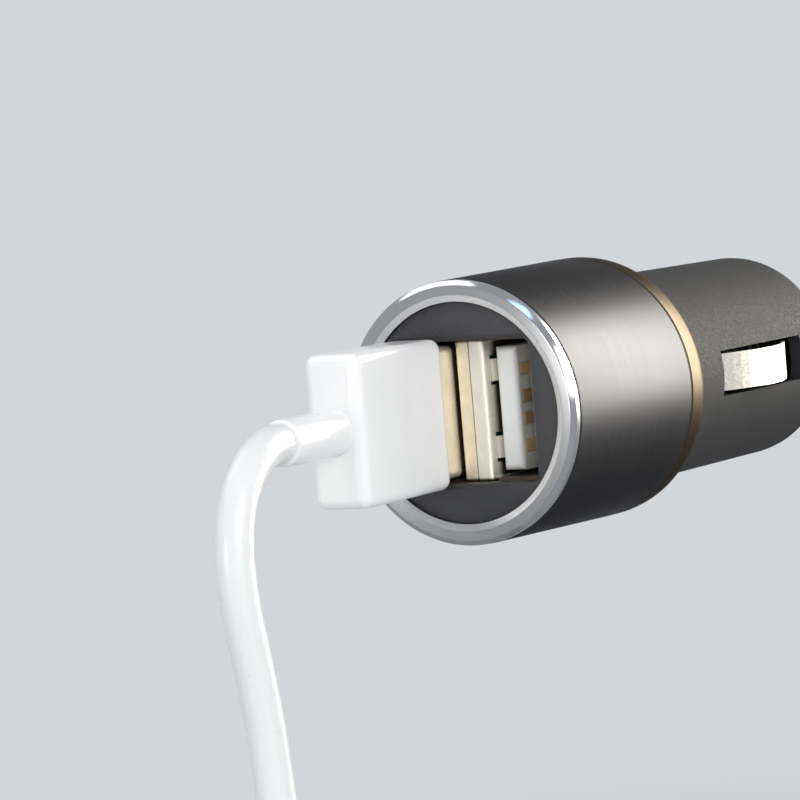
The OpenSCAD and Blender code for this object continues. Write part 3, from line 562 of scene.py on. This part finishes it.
class MakeLead(bpy.types.Operator):
    """Makes the lead at its full length, with its tie and the plug at its far end"""

    bl_idname = "charger.lead"
    bl_label = "Make lead"

    def execute(self, context):
        settings = context.scene.charger
        lead, colours = settings.lead, settings.colours
        # Flexible jacket of soft vinyl: smooth and fairly glossy, with a faint unevenness from the die
        jacket = moulded(
            "soft_vinyl_jacket", colours.jacket, roughness=0.32, grain=1.1, depth=0.004, contrast=0.015,
            **{"Subsurface Weight": 0.05},
        )
        # Polycarbonate from a polished tool: hard, with sharp highlights
        gloss = moulded(
            "glossy_polycarbonate", colours.white, roughness=0.2, grain=2.2, depth=0.004, contrast=0.01,
            **{"Coat Weight": 0.3},
        )
        band = self.woven(colours.band)
        # Nickel over drawn steel: bright, with faint streaks along the plug
        plate = drawn_metal(
            "bright_nickel_plate", colours.plug, roughness=0.3, across=0.12, contrast=0.05, along=(1, 1, 0.04)
        )

        run = np.array(RUN_POINTS)
        d = lead.diameter / MM
        coil_r = lead.coil_radius / MM
        out_r = coil_r + d
        centre = run[-1] + [d, 0, -out_r]
        coil = self.coil_line(centre, coil_r, d)
        tail_start = centre + [d, out_r * np.sin(np.radians(TAIL_TURN)), out_r * np.cos(np.radians(TAIL_TURN))]
        tail = np.array([tail_start + [0, *step] for step in TAIL_STEPS])
        points = np.concatenate([run, coil[1:-1], tail]) * MM
        # A handle points along the line between a point's neighbours and is a sixth of it long
        slope = np.gradient(points, axis=0) / 3
        slope[0], slope[-1] = (points[1] - points[0]) / 3, (points[-1] - points[-2]) / 3
        curve = bpy.data.curves.new("charging_lead", "CURVE")
        curve.dimensions = "3D"
        curve.bevel_depth = lead.diameter / 2
        curve.bevel_resolution = 5
        curve.resolution_u = curve.render_resolution_u = 4
        curve.use_fill_caps = True
        spline = curve.splines.new("BEZIER")
        spline.bezier_points.add(len(points) - 1)
        for side in ("handle_left_type", "handle_right_type"):
            spline.bezier_points.foreach_set(side, np.zeros(len(points), np.int32))
        spline.bezier_points.foreach_set("co", points.ravel())
        spline.bezier_points.foreach_set("handle_left", (points - slope).ravel())
        spline.bezier_points.foreach_set("handle_right", (points + slope).ravel())
        curve.materials.append(jacket)
        cord = put("charging_lead", curve)
        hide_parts("cable_run", "cable_coil", "cable_tail")
        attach(cord, "root")

        wrap = self.tie_sheet(centre, coil_r, d, lead.tie_thickness / MM)
        tie = make("coil_tie", [wrap], [band], ["cable_tie"])
        far = make("end_plug_grip", self.end_grip(), [gloss], ["end_plug_body"])
        collar = self.end_collar(lead, tail[-1])
        far_collar = make("end_plug_collar", collar, [gloss], ["end_collar"])
        far_shell = make("end_plug_sheet", self.end_shell(), [plate], ["end_plug_shell"])
        return {"FINISHED"}

    def coil_line(self, centre, coil_r, d, per_turn=24):
        """Points of the coil, from its top towards +Y: y = R sin a, z = R cos a, with R and x from the lanes.

        Each full turn keeps its lane and then moves to the next one along a smooth step, t^2 (3 - 2 t). Every
        move lies earlier in its turn than the last one, so that a lane is empty when the next turn reaches it.
        """
        move, earlier = 60, 30
        turns = len(COIL_LANES) - 1
        angle = np.arange(0, turns * 360 + TAIL_TURN + 1e-6, 360 / per_turn)
        angle = np.append(angle, turns * 360 + TAIL_TURN)
        k = np.arange(turns)
        start = (k + 1) * 360 - move - earlier * k
        share = np.clip((angle[:, None] - start) / move, 0, 1)
        share = share ** 2 * (3 - 2 * share)
        lanes = np.array(COIL_LANES, float)
        lane = lanes[0] + share @ np.diff(lanes, axis=0)
        a = np.radians(angle)
        radius = coil_r + d * lane[:, 0]
        x = centre[0] + d * lane[:, 1]
        return np.stack([x, centre[1] + radius * np.sin(a), centre[2] + radius * np.cos(a)], -1)

    def tie_sheet(self, centre, coil_r, d, thickness, first=14.0, last=36.0):
        """The band: its section runs over the bundle between two angles of the coil, and back under itself.

        Rows follow the band's section: a circle squared off by raising its cosine to 0.35 for the angle, and its
        sine to 0.5 for the thickness. Columns follow the bundle's outline, a square with round corners.
        """
        bundle, slack = 3 * d, 0.1
        t = np.linspace(0, TAU, 48, endpoint=False)
        side = np.sign(np.cos(t)) * np.abs(np.cos(t)) ** 0.35
        lift = (1 + np.sign(np.sin(t)) * np.abs(np.sin(t)) ** 0.5) / 2
        a = np.radians((first + last) / 2 + (last - first) / 2 * side)
        off = slack + thickness * lift
        outlines = np.stack([round_rectangle(bundle + 2 * s, bundle + 2 * s, d / 2 + s, 10) for s in off])
        radius = coil_r + outlines[..., 1]
        points = np.stack([
            centre[0] + outlines[..., 0],
            centre[1] + radius * np.sin(a)[:, None],
            centre[2] + radius * np.cos(a)[:, None],
        ], -1)
        return sheet(points * MM, round_rows=True, round_cols=True)

    def end_grip(self):
        """A rounded box along Z, with the frame's size."""
        size, middle = END_HIGH - END_LOW, (END_HIGH + END_LOW) / 2
        corner, edge = 2 * MM, 0.7 * MM
        outlines, stations = pillow(size.x, size.y, corner, END_LOW.z, END_HIGH.z, edge)
        return closed_tube(loft(outlines, stations, (middle.x, middle.y), axis=2))

    def end_collar(self, lead, top):
        """The collar's outline turned about the Z axis through the end of the lead."""
        low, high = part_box("end_collar")
        outline = collar_outline(lead.diameter / 2, lead.collar_diameter / 2, high.z - low.z)
        shape = turned(outline, 64)[..., [0, 2, 1]] * [1, 1, -1]
        return [sheet(shape + np.array([top[0] * MM, top[1] * MM, high.z]), round_rows=True)]

    def end_shell(self):
        """An oval tube, open below: its loops go down outside, round the rim and up inside to a floor."""
        low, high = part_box("end_plug_shell")
        size, middle = high - low, (high + low) / 2
        wall, rim, base = 0.3 * MM, 0.1 * MM, 0.5 * MM
        round_side = size.y / 2 - 0.01 * MM
        inside = [0, 0, rim, wall - rim, wall, wall]
        stations = [high.z, low.z + rim, low.z, low.z, low.z + rim, high.z - base]
        outlines = [round_rectangle(size.x - 2 * d, size.y - 2 * d, round_side - d, 12) for d in inside]
        return closed_tube(loft(outlines, stations, (middle.x, middle.y), axis=2))

    def woven(self, base):
        """Woven hook-and-loop band: two sets of threads cross, each seen as soft ribs 0.5 mm apart.

        A wave repeats after 0.314 of the length that its scale gives.
        """
        material, tree, shader, space = finish("woven_band", base, Roughness=0.85, **{"Sheen Weight": 0.3})
        threads = []
        for direction in ("X", "DIAGONAL"):
            wave = add(
                tree, "TexWave", {"Vector": space, "Scale": 1 / (1.6 * MM), "Distortion": 0.0},
                wave_type="BANDS", bands_direction=direction,
            )
            threads.append(wave.outputs["Fac"])
        weave = add(tree, "Math", {0: threads[0], 1: threads[1]}, operation="MAXIMUM").outputs[0]
        tint(tree, shader, base, weave, 0.88, 1.0)
        bump = add(tree, "Bump", {"Strength": 0.8, "Distance": 0.05 * MM, "Height": weave})
        tree.links.new(bump.outputs[0], shader.inputs["Normal"])
        return material


def collar_outline(inner, outer, long):
    """Radius and distance of a collar: a flat end, a round shoulder and a straight side.

    The shoulder is a circle's arc, from the lead's radius to the collar's.
    """
    soft = outer - inner
    a = np.linspace(-np.pi / 3, 0, 6)
    shoulder = np.stack([outer - soft + soft * np.cos(a), soft + soft * np.sin(a)], -1)
    return np.concatenate([[[0, 0], [inner, 0]], shoulder, [[outer, long], [0, long]]])


class MakeHead(bpy.types.Operator):
    """Makes the ring, the sleeve, the collar and the black face"""

    bl_idname = "charger.head"
    bl_label = "Make head"

    def execute(self, context):
        settings = context.scene.charger
        head, colours = settings.head, settings.colours
        # Each metal has its roughness, its lines' spacing and depth in millimetres, its contrast, how far it
        # draws a light out, and how much of its edge brightening it keeps
        metals = [
            # The ring's flat as the lathe leaves it: fine lines that draw its highlights out
            ("turned_aluminium", colours.aluminium, 0.34, 0.09, 0.003, 0.1, 0.8, 1),
            # The outer chamfer, cut with a diamond: close to a mirror
            ("mirror_cut_aluminium", colours.chamfer, 0.13, 0.12, 0.0008, 0.05, 0.3, 1),
            # The inner chamfer, cut bright: pale, with softer highlights
            ("bright_cut_aluminium", colours.inner_chamfer, 0.24, 0.12, 0.0008, 0.05, 0.3, 1),
            # Dyed oxide on turned metal: dark and silky, with faint lines
            ("dark_anodised_aluminium", colours.gunmetal, 0.45, 0.12, 0.0005, 0.16, 0.1, 0.4),
            # The collar's oxide: browner and more even
            ("satin_anodised_aluminium", colours.gunmetal_collar, 0.42, 0.15, 0.0003, 0.1, 0.1, 0.4),
        ]
        brushed, polished, bright, sleeve, collar = (turned_metal(*metal) for metal in metals)
        # Black polycarbonate from a spark-eroded tool: a fine even grain that takes the shine off
        black = moulded(
            "spark_grained_polycarbonate", colours.black, roughness=0.44, grain=0.22, depth=0.06, contrast=0.14
        )

        soft, crisp = head.soft_edge, 0.03 * MM
        front = RING_LOW.y
        r0 = head.ring_radius
        flat_out = r0 - head.edge_width
        flat_in = flat_out - head.flat_width
        bore = flat_in - head.bevel_width
        # The ring's spigot goes into the sleeve
        spigot_in, spigot = 10.55 * MM, 11.1 * MM
        rim_y = front + head.rim_depth
        ledge = front + head.ledge_depth
        self.turn_ring("front_ring", [
            (bore, front + head.bevel_depth, 0.02 * MM, 2), (flat_in, front, soft, 0),
            (flat_out, front, soft, 1), (r0, front + head.edge_depth, soft, 0), (r0, rim_y, soft, 0),
            (spigot, rim_y, 0, 0), (spigot, RING_HIGH.y, soft, 0), (spigot_in, RING_HIGH.y, soft, 0),
            (spigot_in, ledge, 0, 0), (bore, ledge, 0, 0),
        ], [brushed, polished, bright], "bezel_ring", "turned_aluminium")

        # The sleeve widens towards its rear. A narrow bevel breaks its edge in front, and a wider one behind
        sleeve_bore, wide, narrow = 11.14 * MM, SLEEVE_HIGH.x, r0 + 0.05 * MM
        front_bevel, bevel = 0.1 * MM, 0.18 * MM
        self.turn_ring("dark_sleeve", [
            (sleeve_bore, SLEEVE_LOW.y, soft, 0), (narrow - front_bevel, SLEEVE_LOW.y, crisp, 0),
            (narrow, SLEEVE_LOW.y + front_bevel, crisp, 0), (wide, SLEEVE_HIGH.y - bevel, soft, 0),
            (wide - bevel, SLEEVE_HIGH.y, soft, 0), (sleeve_bore, SLEEVE_HIGH.y, soft, 0),
        ], [sleeve], "head_sleeve", "gunmetal_sleeve")

        collar_bore, collar_y, back_edge = 10.34 * MM, -head.collar_length, 1.0 * MM
        self.turn_ring("shoulder_collar", [
            (collar_bore, collar_y, soft, 0), (wide - bevel, collar_y, soft, 0),
            (wide, collar_y + bevel, soft, 0), (wide, 0, back_edge, 0), (collar_bore, 0, soft, 0),
        ], [collar], "rear_collar", "gunmetal_collar", steps=6)

        make("black_face", self.face(head, bore), [black], ["face_insert"])
        return {"FINISHED"}

    def turn_ring(self, name, corners, finishes, node, slot, steps=4):
        """Makes a ring of metal: an outline with rounded corners, turned about the charger's axis."""
        outline, slots = soften(corners, steps)
        make(name, [sheet(turned(outline, 360), True, True, slots)], finishes, [node])

    def face(self, head, bore):
        """Loops from the ring's bore to the window, through it and round the flange, then two curved legs.

        A loop is a circle, x = r cos a, z = r sin a, or the window's outline at the same angles.
        """
        angle = np.linspace(0, TAU, 512, endpoint=False)
        y0, face_r, edge = FACE_LOW.y, bore - 0.04 * MM, 0.06 * MM
        # The flange laps behind the ring's ledge
        flange_r, ledge, deep = bore + 0.45 * MM, y0 + 0.44 * MM, 2.15 * MM
        back = y0 + deep
        w, h, corner = head.window_width, head.window_height, head.window_corner

        def ring(radius, y):
            return np.stack([radius * np.cos(angle), np.full_like(angle, y), radius * np.sin(angle)], -1)

        def rim(grow, share, drop=0.0):
            """The window's outline grown by a share of its chamfers, which are deeper above and below."""
            plain = window_outline(w, h, corner, angle)
            over = np.clip((np.abs(plain[:, 1]) - (h / 2 - corner)) / corner, 0, 1)
            depth = head.window_side + (head.window_over - head.window_side) * over
            out = window_outline(w + 2 * grow * head.window_side, h + 2 * grow * head.window_over, corner, angle)
            return np.stack([out[:, 0], y0 + depth * share + drop, out[:, 1]], -1)

        # The rims round both edges of the chamfer
        loops = np.stack([
            ring(face_r, ledge), ring(face_r, y0 + edge), ring(face_r - edge / 3, y0 + edge / 3),
            ring(face_r - edge, y0), rim(1.14, 0), rim(1.03, 0, 0.01 * MM), rim(0.95, 0.05),
            rim(0.12, 0.88), rim(0.03, 0.98), rim(0, 1.12), rim(0, 0, deep), ring(flange_r, back),
            ring(flange_r, ledge),
        ])
        patches = [sheet(loops, round_rows=True, round_cols=True)]
        # Each leg's inner side, how far it starts from the middle, and how far it reaches into the flange
        leg_in, leg_z, root = flange_r - 1.4 * MM, 7.15 * MM, 0.02 * MM
        for side in (1, -1):
            out_a, in_a = np.arcsin(leg_z / flange_r), np.arcsin(leg_z / leg_in)
            outer, inner = np.linspace(out_a, np.pi - out_a, 48), np.linspace(np.pi - in_a, in_a, 40)
            section = np.concatenate([
                flange_r * np.stack([np.cos(outer), side * np.sin(outer)], -1),
                leg_in * np.stack([np.cos(inner), side * np.sin(inner)], -1),
            ])
            patches += closed_tube(loft([section, section], [back - root, FACE_HIGH.y]))
        return patches


class MakePorts(bpy.types.Operator):
    """Finishes the two ports: their folded shells, tongues and contacts"""

    bl_idname = "charger.ports"
    bl_label = "Make ports"

    def execute(self, context):
        colours = context.scene.charger.colours
        # Matt tin over steel: it scatters part of the light; the port in use is given a warmer colour
        shell, warm = (
            drawn_metal(name, base, roughness=0.4, across=0.14, contrast=contrast, metallic=0.6)
            for name, base, contrast in (
                ("stamped_tin_plated_sheet", colours.port, 0.06),
                ("warmer_tin_plated_sheet", colours.port_warm, 0.08),
            )
        )
        # Painted shade: each port's plating darkens from 3.8 to 4.7 mm behind the ring's front and beyond 6.1 mm
        # above or below, except on the spring fingers, which stand in from the side walls
        for plating in (shell, warm):
            paint_port_shade(plating, colours.port_shade, start=3.8, end=4.7, height=6.1, inner=2.48)
        # Glass-filled nylon, satin from the mould
        nylon = moulded("satin_nylon", colours.nylon, roughness=0.42, grain=0.35, depth=0.006, contrast=0.02)
        # Rolled copper alloy: warm and dull, with faint streaks along each contact
        copper = drawn_metal(
            "copper_alloy_strip", colours.copper, roughness=0.45, across=0.14, contrast=0.06, metallic=0.4
        )
        dress(shell, "port_shell_right")
        dress(warm, "port_shell_left")
        dress(nylon, "port_tongue_right", "port_tongue_left", "plug_insulator")
        dress(copper, "port_contacts_right", "port_contacts_left")
        return {"FINISHED"}


class MakePlug(bpy.types.Operator):
    """Makes the plug in the left port: its moulded grip, its metal shell and the collar behind it"""

    bl_idname = "charger.plug"
    bl_label = "Make plug"

    def execute(self, context):
        settings = context.scene.charger
        lead, colours = settings.lead, settings.colours
        gloss = bpy.data.materials["glossy_polycarbonate"]
        make("plug_grip", self.grip(lead), [gloss], ["plug_housing"])
        low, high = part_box("cable_collar")
        outline = collar_outline(lead.diameter / 2, lead.collar_diameter / 2, high.y - low.y)
        shape = turned(outline, 64) + np.array([(low.x + high.x) / 2, low.y, 0])
        make("plug_collar", [sheet(shape, round_rows=True)], [gloss], ["cable_collar"])
        # Nickel over folded steel: satin, with painted shade where it goes into the port
        plate = drawn_metal(
            "nickel_plated_sheet", colours.plug, roughness=0.4, across=0.12, contrast=0.05, metallic=0.7
        )
        # Painted shade: the plug's sheet darkens from 2.5 to 2.8 mm behind the ring's front and beyond 7 mm
        # above or below
        paint_port_shade(plate, colours.port_shade, start=2.5, end=2.8, height=7)
        # Rolled brass: yellow and bright, with streaks
        brass = drawn_metal("bright_brass_strip", colours.brass, roughness=0.25, across=0.1, contrast=0.1)
        dress(plate, "plug_shell")
        dress(brass, "plug_contacts", "spring_seat")
        return {"FINISHED"}

    def grip(self, lead):
        """A rounded box whose front goes in to a pocket for the metal shell."""
        size, middle = HOUSING_HIGH - HOUSING_LOW, (HOUSING_HIGH + HOUSING_LOW) / 2
        edge = lead.housing_edge
        outlines, stations = pillow(size.x, size.z, edge, HOUSING_LOW.y, HOUSING_HIGH.y, edge * 0.999)
        pocket_w, pocket_h, pocket_corner, deep = 4.58 * MM, 12.08 * MM, 0.6 * MM, 3.04 * MM
        pocket = round_rectangle(pocket_w, pocket_h, pocket_corner)
        outlines = outlines + [pocket, pocket]
        stations = np.concatenate([stations, [HOUSING_HIGH.y, HOUSING_HIGH.y - deep]])
        return closed_tube(loft(outlines, stations, (middle.x, 0)))


class MakeBarrel(bpy.types.Operator):
    """Finishes what lies behind the head: the barrel, its cap, the nose contact and the springs"""

    bl_idname = "charger.barrel"
    bl_label = "Finish barrel"

    def execute(self, context):
        colours = context.scene.charger.colours
        # Glass-filled black nylon: a duller skin than the face's
        black = moulded(
            "matt_filled_nylon", colours.black, roughness=0.7, grain=0.18, depth=0.004, contrast=0.12,
            **{"Specular IOR Level": 0.08},
        )
        # Nickel over a turned pin: bright, with the lathe's lines round it
        nickel = turned_metal(
            "turned_nickel_plate", colours.nickel, roughness=0.22, spacing=0.12, depth=0.003, contrast=0.06,
            anisotropic=0.3, edge=1,
        )
        # Nickel over rolled spring steel: satin
        spring = drawn_metal("spring_leaf_nickel", colours.nickel, roughness=0.42, across=0.14, contrast=0.04)
        # Drawn spring steel: bare grey metal
        wire = drawn_metal(
            "spring_steel_wire", colours.wire, roughness=0.3, across=0.2, contrast=0.1, along=(1, 1, 1)
        )
        dress(black, "socket_barrel", "nose_cap")
        dress(nickel, "tip_contact")
        dress(spring, "ground_spring_right", "ground_spring_left")
        dress(wire, "tip_spring")
        return {"FINISHED"}


class DressCircuit(bpy.types.Operator):
    """Gives the board and its components their finishes"""

    bl_idname = "charger.circuit"
    bl_label = "Dress circuit"

    def execute(self, context):
        colours = context.scene.charger.colours
        dress(self.laminate(colours.laminate), "circuit_board")
        # Clear enamel over drawn copper: orange and bright
        winding = drawn_metal(
            "enamelled_copper_wire", colours.enamel, roughness=0.25, across=0.2, contrast=0.15
        )
        dress(winding, "inductor_winding")
        # Each moulding has its roughness, its grain and depth in millimetres, and its contrast
        mouldings = [
            # Pressed and sintered ferrite: dull, with a fine powder grain
            ("sintered_ferrite", colours.ferrite, 0.75, 0.1, 0.01, 0.2, ["power_inductor"]),
            # Vinyl sleeves shrunk on: smooth and glossy
            ("shrunk_sleeve_blue", colours.sleeve_blue, 0.3, 0.6, 0.004, 0.1, ["input_capacitor"]),
            ("shrunk_sleeve_black", colours.sleeve_black, 0.3, 0.6, 0.004, 0.1, ["output_capacitor"]),
            # Filled epoxy: black and matt, with the tool's fine grain
            ("moulded_epoxy", colours.epoxy, 0.55, 0.08, 0.006, 0.1,
             ["charge_controller", "port_controller", "rectifier_diode"]),
            # Fired ceramic: light brown and satin
            ("fired_ceramic", colours.ceramic, 0.5, 0.15, 0.003, 0.12, ["small_components"]),
        ]
        for name, base, roughness, grain, depth, contrast, nodes in mouldings:
            dress(moulded(name, base, roughness, grain, depth, contrast), *nodes)
        return {"FINISHED"}

    def laminate(self, base):
        """Glass-cloth board under green solder mask: its copper shows as lighter lines, 2.4 mm apart."""
        material, tree, shader, space = finish("solder_mask_laminate", base, Roughness=0.35)
        cells = add(
            tree, "TexVoronoi", {"Vector": space, "Scale": 1 / (2.4 * MM)},
            feature="DISTANCE_TO_EDGE", distance="EUCLIDEAN",
        ).outputs["Distance"]
        line = {"From Min": 0.05, "From Max": 0.09, "To Min": 1, "To Max": 0}
        tracks = add(tree, "MapRange", {"Value": cells, **line}).outputs[0]
        tint(tree, shader, base, tracks, 0.8, 1.6)
        bump = add(tree, "Bump", {"Strength": 0.7, "Distance": 0.03 * MM, "Height": tracks})
        tree.links.new(bump.outputs[0], shader.inputs["Normal"])
        return material


class SetStage(bpy.types.Operator):
    """Lays the pale floor and sets the background and the lights"""

    bl_idname = "charger.stage"
    bl_label = "Set stage"

    def execute(self, context):
        stage = context.scene.charger.stage
        context.scene.view_settings.view_transform = "Standard"
        self.world(context, stage)
        self.floor(stage)
        # All lights face the head's middle
        middle = np.array([0, -12, 0]) * MM
        # Each has its power, colour, the direction it stands in, and its distance, width and height in metres
        lights = [
            ("key_light", stage.key, (1, 1, 1), (-0.6, -0.2, 0.78), 0.6, 0.34, 0.34),
            ("front_light", stage.front, (1, 0.99, 0.96), (-0.22, -0.97, 0.03), 0.7, 0.13, 0.16),
            ("side_light", stage.side, (1, 0.99, 0.97), (0.8, -0.5, 0.3), 0.6, 0.3, 0.3),
            ("strip_light", stage.strip, (1, 0.96, 0.84), (0.49, 0.84, 0.27), 0.5, 0.17, 0.38),
            ("sky_light", stage.sky, (0.35, 0.6, 1), (0.19, -0.57, 0.8), 0.5, 0.12, 0.1),
        ]
        for name, power, shade, direction, away, wide, tall in lights:
            data = bpy.data.lights.new(name, "AREA")
            data.shape = "RECTANGLE"
            data.size, data.size_y = wide, tall
            data.energy, data.color = power, shade
            back = np.array(direction) / np.linalg.norm(direction)
            right = np.cross([0, 0, 1], back)
            right /= np.linalg.norm(right)
            light = put(name, data)
            light.matrix_world = facing(right, np.cross(back, right), back, middle + back * away)
            if name == "strip_light":
                # It stands for a bright reflection: only shiny surfaces that are seen directly show it
                light.visible_diffuse = False
                data.cycles.max_bounces = 0
        return {"FINISHED"}

    def world(self, context, stage):
        """Even light for the surfaces; the camera, and metal and glass, see the backdrop's own colour."""
        world = bpy.data.worlds.new("Studio")
        context.scene.world = world
        world.use_nodes = True
        tree = world.node_tree
        tree.nodes.clear()
        path = add(tree, "LightPath")
        seen = path.outputs["Is Camera Ray"]
        for ray in ("Is Glossy Ray", "Is Transmission Ray"):
            seen = add(tree, "Math", {0: seen, 1: path.outputs[ray]}, operation="MAXIMUM").outputs[0]
        even = add(tree, "Background", {"Color": (1, 1, 1, 1), "Strength": stage.ambient})
        shown = add(tree, "Background", {"Color": (*stage.backdrop, 1), "Strength": 1.0})
        mix = add(tree, "MixShader", {0: seen, 1: even.outputs[0], 2: shown.outputs[0]})
        add(tree, "OutputWorld", {"Surface": mix.outputs[0]})

    def floor(self, stage):
        """A disc half a millimetre under the object, which fades to the background's colour further out."""
        radius, level = 3.0, cad_bounds[0].z - 0.5 * MM
        angle = np.linspace(0, TAU, 96, endpoint=False)
        points = np.stack([radius * np.cos(angle), radius * np.sin(angle), np.full_like(angle, level)], -1)
        mesh = bpy.data.meshes.new("floor")
        mesh.from_pydata(points.tolist(), [], [list(range(len(points)))])
        # Uncoated paper: fully matt, so nothing mirrors in it
        material, tree, shader, space = finish(
            "matt_paper", stage.backdrop, Roughness=0.9, **{"Specular IOR Level": 0.0}
        )
        split = add(tree, "SeparateXYZ", {0: space})
        flat = add(tree, "CombineXYZ", {"X": split.outputs["X"], "Y": split.outputs["Y"]})
        away = add(tree, "VectorMath", {0: flat.outputs[0]}, operation="LENGTH").outputs["Value"]
        fade = add(
            tree, "MapRange", {"Value": away, "From Min": 0.12, "From Max": 0.34},
            interpolation_type="SMOOTHSTEP",
        ).outputs[0]
        glow = add(tree, "Emission", {"Color": (*stage.backdrop, 1), "Strength": 1.0})
        mix = add(tree, "MixShader", {0: fade, 1: shader.outputs[0], 2: glow.outputs[0]})
        tree.links.new(mix.outputs[0], tree.nodes["Material Output"].inputs["Surface"])
        mesh.materials.append(material)
        put("floor", mesh)


class ChargerPanel(bpy.types.Panel):
    """Lists the charger's steps and settings"""

    bl_idname = "VIEW3D_PT_charger"
    bl_label = "Charger"
    bl_space_type = "VIEW_3D"
    bl_region_type = "UI"
    bl_category = "Charger"

    def draw(self, context):
        settings = context.scene.charger
        for operator in STEPS:
            self.layout.operator(operator.bl_idname)
        for group in (settings.head, settings.lead, settings.colours, settings.stage):
            box = self.layout.box()
            for key in group.__annotations__:
                box.prop(group, key)


GROUPS = [HeadSizes, LeadSizes, FinishColours, StageSettings, ChargerSettings]
STEPS = [PlaceCamera, MakeLead, MakeHead, MakePorts, MakePlug, MakeBarrel, DressCircuit, SetStage]


def register():
    for item in GROUPS + STEPS + [ChargerPanel]:
        bpy.utils.register_class(item)
    bpy.types.Scene.charger = bpy.props.PointerProperty(type=ChargerSettings)


def unregister():
    del bpy.types.Scene.charger
    for item in reversed(GROUPS + STEPS + [ChargerPanel]):
        bpy.utils.unregister_class(item)


def main():
    register()
    bpy.ops.charger.camera()
    bpy.ops.charger.lead()
    bpy.ops.charger.head()
    bpy.ops.charger.ports()
    bpy.ops.charger.plug()
    bpy.ops.charger.barrel()
    bpy.ops.charger.circuit()
    bpy.ops.charger.stage()


if __name__ == "__main__":
    main()
